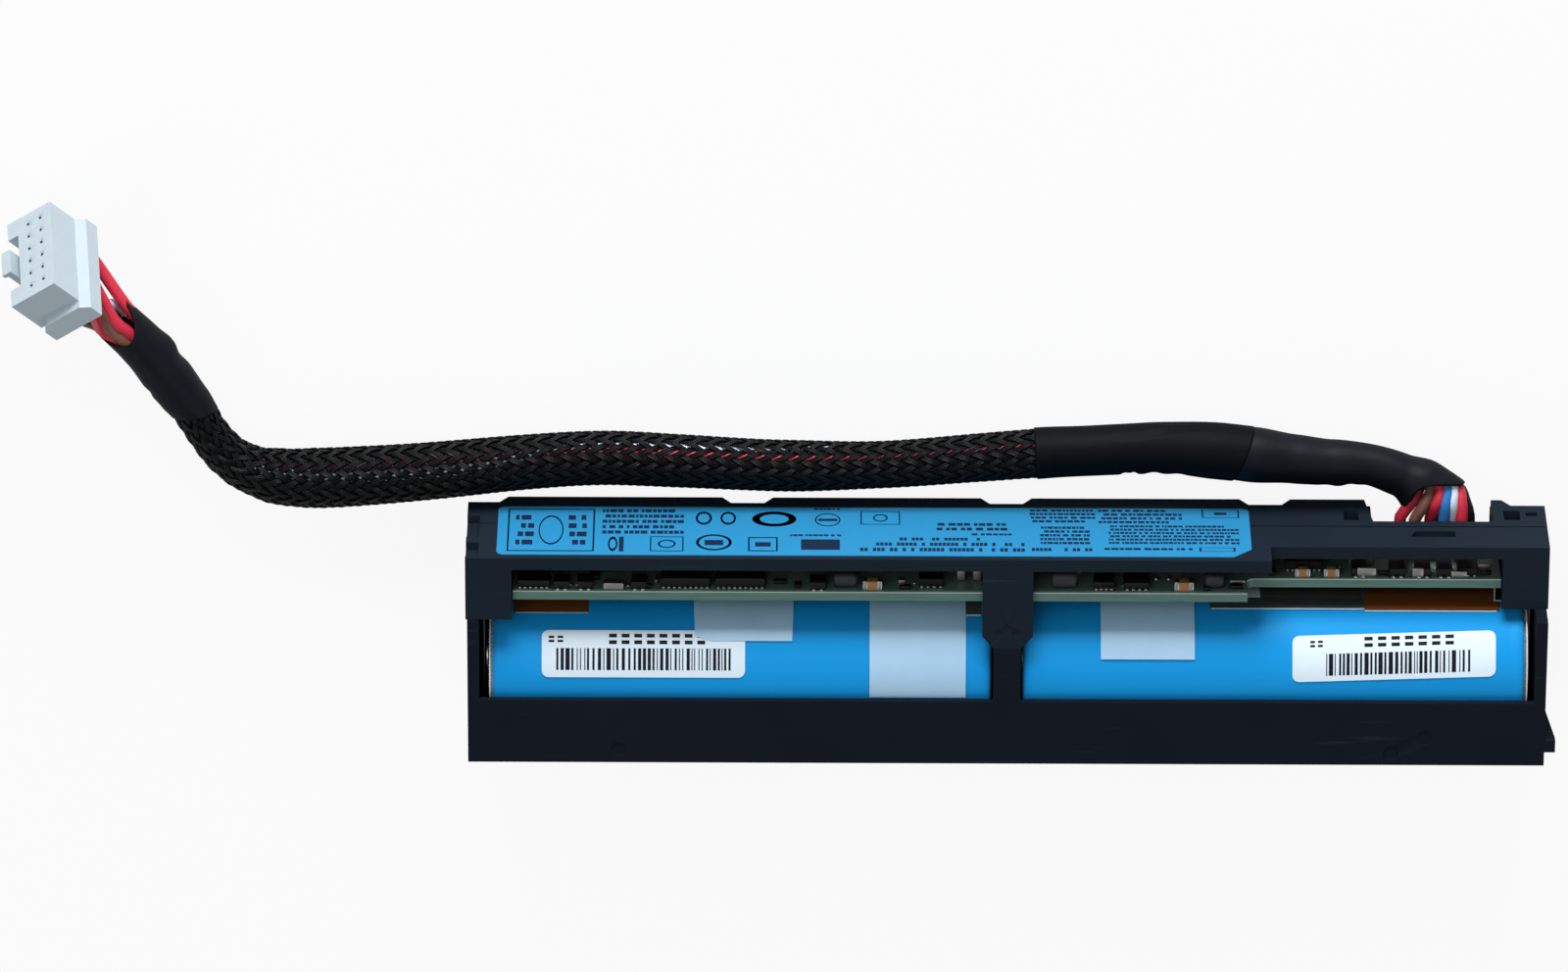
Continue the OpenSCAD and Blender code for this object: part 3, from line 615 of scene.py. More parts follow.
def bell(value: float, middle: float, half: float) -> float:
    """Returns a smooth bump of height 1 at middle that ends half away from it."""
    return ease(1 - abs(value - middle) / half)


def turn_gap(angle: float, middle: float) -> float:
    """Returns how far an angle is from another in degrees, from 0 to 180."""
    return abs((math.degrees(angle) - middle + 180) % 360 - 180)


def dents(share: float, angle: float, rows: Sequence[Sequence[float]]) -> float:
    """Adds up the soft swells and dents of a covering at one place on it.

    Args:
        share: How far along the covering, from 0 to 1.
        angle: The angle round it, in radians.
        rows: Of each, its height in mm, its middle and half length along, and its middle
            and half width round, in degrees.

    Returns:
        Their height there, in metres.
    """
    return MM * sum(height * bell(share, along, half) * ease(1 - turn_gap(angle, side) / spread)
                    for height, along, half, side, spread in rows)


# ---- Housing ----


@dataclass
class Housing:
    """The moulded tray and the cover over the board."""

    edge_r: float = 0.16 * MM

    def build(self) -> None:
        """Makes both mouldings."""
        moulded_copy("tray_moulding", "cell_tray", "tray_plastic", self.edge_r)
        moulded_copy("cover_moulding", "board_cover", "cover_plastic", self.edge_r)


# ---- Cells ----


# The section of a cell's wrap: mm past its inner or outer end, and above its surface
WRAP_INNER: tuple = ((0, -1.55), (0, -0.5), (0.12, -0.2), (0.4, -0.04), (0.9, 0))
WRAP_OUTER: tuple = ((-2.1, 0), (-1.75, -0.07), (-1.4, -0.03), (-0.7, -0.02), (-0.28, -0.09),
                     (-0.07, -0.22), (0, -0.5), (0, -1.55), (-0.15, -1.55), (-0.2, -0.6),
                     (-0.45, -0.22))
WRAP_LINING: tuple = ((0.45, -0.17), (0.15, -0.6), (0.12, -1.55))

# Pale edges of the amber films and the sense strip: ends in mm, upper edge in degrees, width
FILM_EDGES: tuple = ((-63.2, -46.2, 66.3, 1.0), (54, 63.4, 61.4, 0.6),
                     (-47.6, -26.4, 68.3, 1.1), (3.4, 5.3, 60.6, 1.2))
STRAP_PAD: tuple = (3.3, 5.4, 60.6, 104)


@dataclass
class Cells:
    """The two wrapped cells, with their end collars and the edges of their films."""

    y: float = 4.0 * MM
    z: float = 10.25 * MM
    radius: float = 9.2 * MM
    inner_end: float = 2.05 * MM
    wrap_end: float = 66.3 * MM
    collar_gap: float = 0.27 * MM
    collar_w: float = 0.17 * MM
    left_shift: float = 0.4 * MM
    film_r: float = 9.24 * MM
    edge_lift: float = 0.1 * MM
    pad_t: float = 0.1 * MM

    def point(self, x: float, degrees: float, radius: float) -> Vector:
        """Returns a place at an angle from the cells' top, towards the front."""
        a = math.radians(degrees)
        return Vector((x, self.y - radius * math.sin(a), self.z + radius * math.cos(a)))

    def turned(self, bm: BMesh, side: int, outline: Sequence[tuple[float, float]],
               steps: int = 72) -> None:
        """Adds a ring turned round the cells' axis.

        Args:
            bm: The mesh that it joins.
            side: 1 or -1, the end of the module.
            outline: Distances from the middle and radii, in metres, as a closed loop.
            steps: Facets round the ring.
        """
        verts = [bm.verts.new(self.point(side * x, 0, r)) for x, r in outline]
        edges = [bm.edges.new(pair) for pair in zip(verts, verts[1:] + verts[:1])]
        bmesh.ops.spin(bm, geom=verts + edges, cent=(0, self.y, self.z), axis=(1, 0, 0),
                       angle=math.tau, steps=steps, use_merge=True)

    def outer_end(self, side: int) -> float:
        """Returns how far from the middle a cell's wrap ends, on one side."""
        return self.wrap_end + (self.left_shift if side < 0 else 0)

    def wrap(self, side: int, name: str, node: str) -> None:
        """Makes a cell's shrink wrap, folded over both ends and drawn in at the crimp.

        Args:
            side: 1 or -1, the end of the module.
            name: The new piece's name.
            node: The CAD node that it replaces.
        """
        spans = ((self.inner_end, WRAP_INNER), (self.outer_end(side), WRAP_OUTER),
                 (self.inner_end, WRAP_LINING))
        bm = bmesh.new()
        self.turned(bm, side, [(end + x * MM, self.radius + depth * MM)
                               for end, rows in spans for x, depth in rows])
        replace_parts(as_piece(name, bm, "cell_wrap_film", 50), node)

    def collars(self) -> None:
        """Makes the white collars at the cells' outer ends, in place of the end rings."""
        bm = bmesh.new()
        inner = self.radius - 1.2 * MM
        for side in (1, -1):
            a = self.outer_end(side) + self.collar_gap
            b = a + self.collar_w
            self.turned(bm, side, [(a, inner), (a, self.radius - 0.22 * MM),
                                   (b, self.radius - 0.24 * MM), (b, inner)])
        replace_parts(as_piece("cell_collars", bm, "ring_paper", 50), "end_rings")

    def patch(self, bm: BMesh, span: Sequence[float], radius: float,
              thick: float = 0.02 * MM, lean: float = 0.0) -> None:
        """Adds a thin film that follows the cells' curve.

        Args:
            bm: The mesh that it joins.
            span: Both ends along X in mm, then both edges in degrees.
            radius: The film's inner radius.
            thick: Its thickness.
            lean: Degrees it turns per millimetre along X, from its middle.
        """
        x0, x1, low, high = span
        grid = unit_grid(bm, 1, max(1, round(abs(high - low) / 2)))
        faces = list({f for v, *_ in grid for f in v.link_faces})
        for v, along, across in grid:
            x = x0 + along * (x1 - x0)
            v.co = self.point(x * MM, low + across * (high - low) + lean * x, radius)
        self.thicken(bm, faces, thick, x0 * MM)

    def thicken(self, bm: BMesh, faces: list, thick: float, x: float) -> None:
        """Gives a sheet that lies on a cell its thickness.

        Args:
            bm: The sheet's mesh.
            faces: The sheet's faces.
            thick: How far it grows away from the cells, or towards them if negative.
            x: A place along X near the sheet, in metres.
        """
        bmesh.ops.recalc_face_normals(bm, faces=faces)
        away = faces[0].calc_center_median() - self.point(x, 0, 0)
        outward = faces[0].normal.dot(away) > 0
        bmesh.ops.solidify(bm, geom=faces, thickness=-thick if outward else thick)

    def film_edges(self) -> None:
        """Adds the pale cut edges of the films, and the dark pad beside the rib."""
        bm = bmesh.new()
        for x0, x1, angle, width in FILM_EDGES:
            self.patch(bm, (x0, x1, angle - width, angle), self.film_r + self.edge_lift)
        as_piece("film_edges", bm, "cell_label_paper")
        bm = bmesh.new()
        self.patch(bm, STRAP_PAD, self.film_r, self.pad_t)
        as_piece("strap_pad", bm, "dark_foam")

    def build(self) -> None:
        """Makes the wraps, the collars and the films' edges."""
        self.wrap(1, "right_shrink_wrap", "cell_wrap_right")
        self.wrap(-1, "left_shrink_wrap", "cell_wrap_left")
        self.collars()
        self.film_edges()


# ---- Print ----


BAR_WIDTHS: tuple = (0.14, 0.14, 0.28, 0.28, 0.42, 0.56)
BAR_GAPS: tuple = (0.2, 0.28, 0.28, 0.42)


@dataclass
class CellPrint:
    """Plain bars and dashes on a cell's white label, which may be stuck on askew."""

    cells: Cells
    node: str
    name: str
    bars: tuple[float, float, float, float]
    dashes: tuple[tuple[float, ...], ...]
    lean: float
    seed: int
    corner: float = 0.9 * MM
    thick: float = 0.06 * MM
    ink_t: float = 0.012 * MM

    def span(self) -> tuple[float, float, float]:
        """Returns both edges of the CAD label in degrees, and its outer radius."""
        cells = self.cells
        verts = [v.co for v in frame["nodes"][self.node].data.vertices]
        turns = [math.degrees(math.atan2(cells.y - v.y, v.z - cells.z)) for v in verts]
        return min(turns), max(turns), max(math.hypot(v.y - cells.y, v.z - cells.z) for v in verts)

    def build(self) -> None:
        """Makes the label, with rounded corners, and its print."""
        low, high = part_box(self.node)
        bottom, top, radius = self.span()
        middle = (low.x + high.x) / 2
        corner = self.corner
        ends = [corner * share for share in (0, 0.04, 0.15, 0.35, 0.65, 1)]
        length = high.x - low.x
        steps = ends + [corner + (length - 2 * corner) * i / 12 for i in range(1, 12)]
        steps += [length - x for x in reversed(ends)]
        bm = bmesh.new()
        for v, along, across in unit_grid(bm, len(steps) - 1, 12):
            x = steps[round(along * (len(steps) - 1))]
            inside = max(0.0, corner - min(x, length - x))
            cut = math.degrees((corner - math.sqrt(corner ** 2 - inside ** 2)) / radius)
            turn = bottom + cut + across * (top - bottom - 2 * cut)
            x += low.x
            v.co = self.cells.point(x, turn + self.lean * (x - middle) / MM, radius)
        self.cells.thicken(bm, list(bm.faces), -self.thick, middle)
        label = as_piece(self.name, bm, "cell_label_paper", 50, outward=False)
        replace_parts(label, self.node)
        self.ink(middle / MM, radius)

    def ink(self, middle: float, radius: float) -> None:
        """Makes the bars and the dashes.

        Args:
            middle: The label's middle along X, in mm.
            radius: The label's outer radius.
        """
        rand = random.Random(self.seed)
        bm = bmesh.new()
        x0, x1, low, high = self.bars
        x = x0
        while x < x1:
            width = rand.choice(BAR_WIDTHS)
            self.mark(bm, x, min(x + width, x1), low, high, radius, middle)
            x += width + rand.choice(BAR_GAPS)
        for x0, x1, low, high, count in self.dashes:
            step = (x1 - x0) / count
            rise = (high - low) * 0.36
            for x in (x0 + i * step for i in range(count)):
                for z0, z1 in ((low, low + rise), (high - rise, high)):
                    self.mark(bm, x, x + step * 0.62, z0, z1, radius, middle)
        as_piece(self.name + "_print", bm, "cell_label_paper", finish="bar_ink")

    def mark(self, bm: BMesh, x0: float, x1: float, low: float, high: float,
             radius: float, middle: float) -> None:
        """Adds one bar that leans with the label."""
        shift = -self.lean * middle
        self.cells.patch(bm, (x0, x1, low + shift, high + shift), radius, self.ink_t, self.lean)


@dataclass
class RatingPrint:
    """Plain shapes in ink on the blue label of the long wall."""

    thick: float = 0.02 * MM
    seed: int = 4

    def face_y(self) -> float:
        """Returns the label's outer face along Y."""
        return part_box("rating_label")[0].y

    def plate(self, bm: BMesh, x0: float, x1: float, z0: float, z1: float) -> None:
        """Adds one filled oblong, its sides in mm."""
        y = self.face_y()
        block(bm, (x0 * MM, y - self.thick, z0 * MM), (x1 * MM, y + self.thick / 2, z1 * MM))

    def outline(self, bm: BMesh, box: Sequence[float], sides: int,
                width: float) -> None:
        """Adds an outlined frame or oval.

        Args:
            bm: The mesh that it joins.
            box: Both ends along X, then both heights, in mm.
            sides: 4 for a frame, or more for an oval.
            width: The line's share of the half width.
        """
        x0, x1, z0, z1 = box
        grow = math.sqrt(2) if sides == 4 else 1.0
        made = bmesh.ops.create_circle(bm, cap_ends=True, segments=sides, radius=grow)["verts"]
        face = made[0].link_faces[0]
        start = math.pi / 4 if sides == 4 else 0.0
        bmesh.ops.rotate(bm, verts=made, matrix=Matrix.Rotation(start, 3, "Z"))
        rim = bmesh.ops.inset_individual(bm, faces=[face], thickness=width * grow)["faces"]
        bmesh.ops.delete(bm, geom=[face], context="FACES_ONLY")
        y = self.face_y() - self.thick
        for v in {v for f in rim for v in f.verts}:
            v.co = Vector(((x0 + x1) / 2 * MM + v.co.x * (x1 - x0) / 2 * MM, y,
                           (z0 + z1) / 2 * MM + v.co.y * (z1 - z0) / 2 * MM))
        bmesh.ops.solidify(bm, geom=rim, thickness=self.thick)

    def words(self, bm: BMesh, box: Sequence[float], rows: int, size: float,
              rand: random.Random) -> None:
        """Adds rows of dashes.

        Args:
            bm: The mesh that they join.
            box: Both ends along X, then both heights, in mm.
            rows: How many rows there are.
            size: Width of one dash in mm.
            rand: The source of the spacing.
        """
        x0, x1, z0, z1 = box
        step = (z1 - z0) / rows
        for row in range(rows):
            z = z0 + row * step + step * 0.2
            x = x0 + (rand.random() * (x1 - x0) * 0.2 if row % 3 == 0 else 0)
            while x < x1 - size / 2:
                end = min(x + size * rand.uniform(0.6, 1.6), x1)
                self.plate(bm, x, end, z, z + step * 0.56)
                x = end + size * rand.choice((0.25, 0.25, 0.3, 0.8))

    def grid(self, bm: BMesh, box: Sequence[float], cells: Sequence[int],
             rand: random.Random) -> None:
        """Adds a scatter of small plates in even cells.

        Args:
            bm: The mesh that they join.
            box: Both ends along X, then both heights, in mm.
            cells: How many cells there are each way.
            rand: Picks the cells that are filled.
        """
        x0, x1, z0, z1 = box
        w = (x1 - x0) / cells[0]
        h = (z1 - z0) / cells[1]
        for i in range(cells[0]):
            for j in range(cells[1]):
                if rand.random() < 0.72:
                    x = x0 + i * w
                    z = z0 + j * h
                    self.plate(bm, x + 0.1 * w, x + 0.9 * w, z + 0.12 * h, z + 0.88 * h)

    def build(self) -> None:
        """Draws every mark of the label."""
        rand = random.Random(self.seed)
        bm = bmesh.new()
        for kind, box, *sizes in RATING_MARKS:
            if kind is Mark.BAR:
                self.plate(bm, *box)
            elif kind is Mark.FRAME:
                self.outline(bm, box, 4, *sizes)
            elif kind is Mark.RING:
                self.outline(bm, box, *sizes)
            elif kind is Mark.GRID:
                self.grid(bm, box, sizes, rand)
            else:
                self.words(bm, box, *sizes, rand)
        as_piece("rating_print", bm, "rating_label_film", finish="print_ink")


# Kind and box in mm, then a frame's line width, a ring's sides and line width, the rows and
# the dash of words, or the cells of a grid
RATING_MARKS: tuple = (
    (Mark.FRAME, (53.2, 64.4, 5.6, 18.4), 0.035),
    (Mark.RING, (57.2, 60.4, 7.6, 16.4), 36, 0.09),
    (Mark.WORDS, (54.2, 56.6, 7, 17), 4, 0.9),
    (Mark.WORDS, (61, 63.4, 7, 17), 4, 0.9),
    (Mark.WORDS, (41.7, 52.2, 5.3, 13.4), 5, 0.55),
    (Mark.BAR, (49.4, 50, 14, 18.4)), (Mark.RING, (50.2, 51.4, 14, 18.3), 24, 0.3),
    (Mark.FRAME, (41.7, 46, 13.9, 18.3), 0.07), (Mark.RING, (42.7, 45, 14.9, 17.3), 24, 0.2),
    (Mark.RING, (38.1, 40.2, 6.3, 10.2), 28, 0.26), (Mark.RING, (35, 37, 6.3, 10.2), 28, 0.26),
    (Mark.RING, (35.5, 40.1, 13.2, 18), 36, 0.16), (Mark.BAR, (36.6, 39, 14.9, 16.4)),
    (Mark.RING, (27.2, 32.9, 6.2, 10.7), 40, 0.34), (Mark.RING, (21.5, 24.8, 6.7, 10.6), 32, 0.1),
    (Mark.BAR, (21.9, 24.4, 8.3, 9)), (Mark.WORDS, (21.3, 25, 4.9, 5.8), 1, 0.4),
    (Mark.FRAME, (13.8, 18.9, 6, 10), 0.06), (Mark.RING, (15.4, 17.3, 6.9, 9.1), 24, 0.2),
    (Mark.FRAME, (29.6, 33.4, 14, 18.2), 0.1), (Mark.BAR, (30.5, 32.5, 15.5, 16.8)),
    (Mark.BAR, (21.6, 26.6, 14.6, 17.7)), (Mark.WORDS, (20, 28.2, 12.9, 13.8), 1, 0.4),
    (Mark.GRID, (3, 14.5, 13.8, 14.9), 22, 1), (Mark.GRID, (-2.2, 17, 15.3, 16.5), 36, 1),
    (Mark.GRID, (-2.2, 19.6, 16.9, 18.2), 40, 1),
    (Mark.WORDS, (0, 9.1, 9.2, 12), 2, 0.62), (Mark.WORDS, (-1, 4.6, 12.4, 13.4), 1, 0.5),
    (Mark.WORDS, (-11.4, -2.8, 5, 9.4), 4, 0.5), (Mark.WORDS, (-10.6, -4.2, 10.2, 16), 5, 0.45),
    (Mark.WORDS, (-22.6, -11.8, 5, 9.6), 4, 0.55), (Mark.WORDS, (-29.8, -13, 9.8, 15.8), 6, 0.4),
    (Mark.FRAME, (-30, -25.2, 5.1, 7.6), 0.07), (Mark.BAR, (-28.4, -26.8, 6, 6.7)),
    (Mark.FRAME, (-29.2, -24.6, 16.7, 17.8), 0.1),
    (Mark.WORDS, (-24, -12.4, 16.6, 17.7), 1, 0.6), (Mark.GRID, (-11.4, -3, 16.8, 18), 16, 1),
)


# ---- Circuit board ----


@dataclass
class Board:
    """The charger board's parts: rounded packages, their leads and solder."""

    pin_pitch: float = 0.65 * MM
    plating: float = 0.03 * MM
    lead_t: float = 0.32 * MM
    tuck: float = 0.1 * MM
    rounding: float = 0.08 * MM
    step_x: float = -30.6
    tops: tuple[float, float] = (14.9, 19.4)

    def top(self, x: float) -> float:
        """Returns how high the board's upper edge is at a place along it, in mm."""
        return self.tops[x > self.step_x]

    def packages(self) -> None:
        """Rounds every package's edges."""
        for name, node, slot, radius in (
                ("power_bodies", "power_packages", "package_black", 0.15),
                ("chip_bodies", "control_chips", "package_black", 0.12),
                ("transistor_bodies", "transistors", "package_black", 0.12),
                ("inductor_bodies", "inductors", "ferrite", 0.6),
                ("ceramic_bodies", "ceramic_capacitors", "capacitor_tan", 0.1),
                ("tantalum_bodies", "tantalum_capacitors", "capacitor_metal", 0.14),
                ("crystal_bodies", "crystal_cans", "capacitor_metal", 0.3)):
            moulded_copy(name, node, slot, radius * MM)

    def caps(self) -> None:
        """Adds the silver ends of the ceramic capacitors."""
        bm = bmesh.new()
        over = self.plating
        for low, high in islands("ceramic_capacitors"):
            width = 0.24 * (high.x - low.x)
            for x in (low.x - over, high.x - width + over):
                block(bm, (x, low.y - over, low.z - over), (x + width, BOARD_FRONT, high.z + over),
                      self.rounding)
        as_piece("capacitor_ends", bm, "solder")

    def leads(self) -> None:
        """Adds the bright leads along both long edges of the black packages."""
        bm = bmesh.new()
        for node, reach in (("transistors", 0.5), ("control_chips", 0.35), ("power_packages", 0.4)):
            for low, high in islands(node):
                count = 2 if node == "transistors" else int((high.x - low.x) / self.pin_pitch)
                step = (high.x - low.x) / count
                for i in range(count):
                    x = low.x + (i + 0.5) * step
                    half = min(0.2 * MM, step * 0.3)
                    for z0, z1 in ((high.z - self.tuck, high.z + reach * MM),
                                   (low.z - reach * MM, low.z + self.tuck)):
                        block(bm, (x - half, BOARD_FRONT - self.lead_t, z0),
                              (x + half, BOARD_FRONT, z1), self.rounding)
        as_piece("package_leads", bm, "solder")

    def beads(self) -> None:
        """Adds solder domes on the board's front."""
        bm = bmesh.new()
        for x, drop, size in SOLDER_BEADS:
            dome = bmesh.ops.create_uvsphere(bm, u_segments=14, v_segments=9, radius=1)["verts"]
            for v in dome:
                v.co = Vector((x * MM + v.co.x * size * MM,
                               BOARD_FRONT - max(v.co.y, -0.2) * size * 0.9 * MM,
                               (self.top(x) - drop) * MM + v.co.z * size * MM))
        as_piece("solder_beads", bm, "solder", 60)

    def small_parts(self) -> None:
        """Adds the small dark and pale chips between the larger packages."""
        for name, slot, rows in (("chip_resistors", "package_black", CHIP_RESISTORS),
                                 ("pale_chips", "capacitor_metal", PALE_CHIPS)):
            bm = bmesh.new()
            for x, drop, w, h, t in rows:
                top = self.top(x) - drop
                block(bm, ((x - w / 2) * MM, BOARD_FRONT - t * MM, (top - h) * MM),
                      ((x + w / 2) * MM, BOARD_FRONT, top * MM), self.rounding)
            as_piece(name, bm, slot)

    def build(self) -> None:
        """Makes every part of the board."""
        self.packages()
        self.caps()
        self.leads()
        self.beads()
        self.small_parts()


# Places along the board, drops below its edge and radii of the solder domes, in mm
SOLDER_BEADS: tuple = (
    (62.1, 1.2, 0.26), (61.1, 1.2, 0.26), (61.6, 4.4, 0.24), (59.7, 2.6, 0.3), (56.2, 1.9, 0.32),
    (55.4, 1.9, 0.32), (48.8, 1.7, 0.32), (48, 1.7, 0.32), (-19.15, 4.3, 0.42),
    (-20.75, 4.3, 0.42), (-26.4, 4.6, 0.3), (-27, 4.6, 0.3), (12, 2.8, 0.28),
    (-53.3, 3.1, 0.3), (-55.2, 3.1, 0.3), (-57.6, 3.7, 0.26), (-58.6, 3.7, 0.26),
    (-2.8, 3, 0.3), (-14.8, 2.2, 0.24), (-16.6, 1.3, 0.22), (-31.6, 3.2, 0.3),
)

# Place along the board, drop below its edge, width, height and thickness, in mm
CHIP_RESISTORS: tuple = (
    (46.4, 0.8, 1.5, 0.8, 0.5), (53.1, 3.3, 1.2, 1.6, 0.6), (29.3, 2.2, 1.6, 0.9, 0.5),
    (27, 1, 0.9, 1.4, 0.5), (13.2, 0.7, 1.5, 0.8, 0.5), (-13, 0.6, 1.6, 0.9, 0.6),
    (-25.6, 0.6, 0.9, 1.5, 0.5), (-29.4, 1.2, 1.7, 0.9, 0.5), (-34.2, 0.8, 0.9, 1.5, 0.5),
    (-44.8, 0.7, 0.9, 1.4, 0.5), (-48.6, 1, 1.6, 0.8, 0.5), (-61.7, 1.2, 1.4, 0.8, 0.5),
)
PALE_CHIPS: tuple = (
    (54.4, 1.3, 0.5, 2.6, 0.7), (45.2, 2.2, 0.3, 2.2, 0.6), (20.8, 5.1, 1.8, 0.3, 1.25),
    (-8.2, 5.1, 2.8, 0.3, 1.2), (-29.6, 2.8, 2, 0.25, 0.5), (13.6, 2.1, 0.9, 1, 0.7),
    (-46.3, 0.5, 2.4, 0.5, 1.3), (-52.9, 0.4, 1.4, 0.4, 1.3), (-58.2, 0.4, 2, 0.3, 0.9),
    (-61.4, 2.6, 1.6, 0.3, 0.9), (-33.6, 3.4, 0.9, 0.4, 0.8), (-42.6, 2.6, 0.9, 0.5, 0.6),
)


# ---- Lead ----


def heading(line: Sequence[Vector], index: int) -> Vector:
    """Returns a line's direction at one of its points."""
    return (line[min(index + 3, len(line) - 1)] - line[max(index - 2, 0)]).normalized()


@dataclass
class Route:
    """A smooth line through given points."""

    points: list[Vector]
    step: float = 0.5 * MM
    line: list[Vector] = field(default_factory=list)
    marks: list[float] = field(default_factory=list)
    at_point: list[float] = field(default_factory=list)

    def __post_init__(self) -> None:
        """Works out the line and the distance along it."""
        first, second, *_ = self.points
        ends = [2 * first - second, *self.points, 2 * self.points[-1] - self.points[-2]]
        self.line = [first.copy()]
        self.marks = [0.0]
        self.at_point = [0.0]
        for a, b, c, d in zip(ends, ends[1:], ends[2:], ends[3:]):
            count = max(2, round((c - b).length / self.step))
            for i in range(1, count + 1):
                t = i / count
                p = 0.5 * (2 * b + (c - a) * t + (2 * a - 5 * b + 4 * c - d) * t * t
                           + (3 * b - a - 3 * c + d) * t ** 3)
                self.marks.append(self.marks[-1] + (p - self.line[-1]).length)
                self.line.append(p)
            self.at_point.append(self.marks[-1])

    @property
    def length(self) -> float:
        """Length of the line in metres."""
        return self.marks[-1]

    def spot(self, distance: float, across: float = 0.0, up: float = 0.0) -> Vector:
        """Finds a place beside the line, or beyond its ends.

        Args:
            distance: How far along the line.
            across: How far to its side, level.
            up: How far above it.

        Returns:
            The place in the row frame.
        """
        low = min(max(bisect.bisect_right(self.marks, distance) - 1, 0), len(self.marks) - 2)
        share = (distance - self.marks[low]) / (self.marks[low + 1] - self.marks[low])
        point = self.line[low] + (self.line[low + 1] - self.line[low]) * share
        along = heading(self.line, low)
        side = along.cross(UP).normalized()
        return point + side * across + side.cross(along) * up


def sweep(bm: BMesh, line: Sequence[Vector], radius: float, sides: int = 12) -> None:
    """Adds a round closed tube along a line.

    Args:
        bm: The mesh that it joins.
        line: The points of its middle.
        radius: Its radius.
        sides: Facets round it.
    """
    count = len(line) - 1
    grid = unit_grid(bm, count, sides)
    for v, share, turn in grid:
        index = round(share * count)
        angle = math.tau * turn
        along = heading(line, index)
        side = along.cross(UP).normalized()
        out = side * math.cos(angle) + side.cross(along) * math.sin(angle)
        v.co = line[index] + out * radius
    bmesh.ops.remove_doubles(bm, verts=[v for v, *_ in grid], dist=1e-7)
    rims = [e for e in bm.edges if e.is_boundary]
    bmesh.ops.holes_fill(bm, edges=rims, sides=sides)


@dataclass(frozen=True)
class WirePlan:
    """Where one wire leaves the board, lies in the sleeve and enters the plug.

    Attributes:
        colour: Its colour.
        exit_x: Its place along the board, in mm.
        exit_z: Its height there, in mm.
        bow: Its point between the cover and the shrink sleeve, in mm.
        mouth: Its point in the sleeve's mouth, in mm.
        ring: Its angle in the sleeve in degrees, a table of angles, or None for the middle.
        contact: Its row and place in the plug.
        plug_mouth: Its place to the side and above the middle at the plug, before spreading.
    """

    colour: str
    exit_x: float
    exit_z: float
    bow: Triple
    mouth: Triple
    ring: float | tuple | None
    contact: tuple[int, int]
    plug_mouth: tuple[float, float]


# Angles of the two wires that show through the braid, at distances along the lead
RED_DRIFT: tuple = ((60 * MM, 38), (100 * MM, 46), (128 * MM, 42), (140 * MM, 30))
WHITE_DRIFT: tuple = ((66 * MM, -35), (87 * MM, 18), (97 * MM, 26), (109 * MM, 26),
                      (117 * MM, 43), (129 * MM, 72), (139 * MM, 68), (149 * MM, 52))

WIRE_PLANS: tuple = (
    WirePlan("red", -50.95, 5.0, (-52.1, -15.8, 5.8), (-53.2, -17.7, 5.0), 192, (1, 0),
             (1.55, -0.3)),
    WirePlan("brown", -52.75, 6.0, (-53.9, -16.3, 6.7), (-54.6, -18.5, 5.3), 141, (1, 4),
             (-0.5, 1.05)),
    WirePlan("red", -54.85, 5.0, (-55.5, -16.4, 6.9), (-55.7, -18.8, 5.5), None, (1, 2),
             (0.28, 0.95)),
    WirePlan("blue", -56.5, 6.1, (-56.6, -16.5, 6.9), (-56.5, -18.6, 5.4), 250, (0, 2),
             (-0.6, -1.2)),
    WirePlan("white", -57.5, 5.4, (-57.5, -16.4, 6.6), (-57.1, -18.5, 5.3), WHITE_DRIFT, (0, 4),
             (0.6, -1.2)),
    WirePlan("red", -58.8, 6.1, (-58.7, -16.5, 6.2), (-57.8, -18.2, 4.9), RED_DRIFT, (1, 5),
             (-1.3, 0.5)),
    WirePlan("black", -59.8, 4.7, (-59.2, -16.1, 5.0), (-58, -17.8, 4.1), -13, (0, 5),
             (-1.6, -0.4)),
    WirePlan("black", -56.4, 3.1, (-56.8, -15.4, 3.6), (-56.2, -17, 3.2), 95, (0, 0), (0, -0.2)),
)


@dataclass
class Plug:
    """The milky two-row plug at the lead's end."""

    at: Vector = field(default_factory=lambda: Vector((124.45, -52.8, 10.12)) * MM)
    turn: Triple = (25, -13, -144)
    pitch: float = 2.0
    back_y: float = -8.1

    def point(self, x: float, y: float, z: float) -> Vector:
        """Returns a place in the plug's own axes, given in mm."""
        turn = Euler([math.radians(a) for a in self.turn], "XYZ").to_matrix()
        return self.at + turn @ (Vector((x, y, z)) * MM)

    def contact(self, row: int, place: int, y: float) -> Vector:
        """Returns a place on one contact's axis, y mm past the plug's rear face."""
        return self.point((row - 0.5) * self.pitch, self.back_y + y, (place - 2.5) * self.pitch)

    def disc(self, bm: BMesh, x: float, z: float, radius: float, y: float) -> None:
        """Adds a thin disc across one cavity, its sizes in mm."""
        new = bmesh.ops.create_cone(bm, cap_ends=True, segments=20, radius1=radius,
                                    radius2=radius, depth=0.1)["verts"]
        for v in new:
            v.co = self.point(x + v.co.x, y - 0.05 + v.co.z, z + v.co.y)

    def build(self) -> None:
        """Makes the moulding, and the narrow mouths of its cavities, each with a dark disc of
        painted shade.
        """
        moulded_copy("plug_moulding", "plug_housing", "plug_nylon", 0.32 * MM, 3)
        for name, slot, finish, radius, y in (
                ("cavity_rims", "plug_nylon", "plug_nylon", 0.55, -0.06),
                # The dark disc in each mouth is painted shade of the hole behind it
                ("cavity_mouths", "plug_nylon", "print_ink", 0.19, -0.03)):
            bm = bmesh.new()
            for row in (0, 1):
                for place in range(6):
                    self.disc(bm, (row - 0.5) * self.pitch, (place - 2.5) * self.pitch, radius, y)
            as_piece(name, bm, slot, finish=finish)


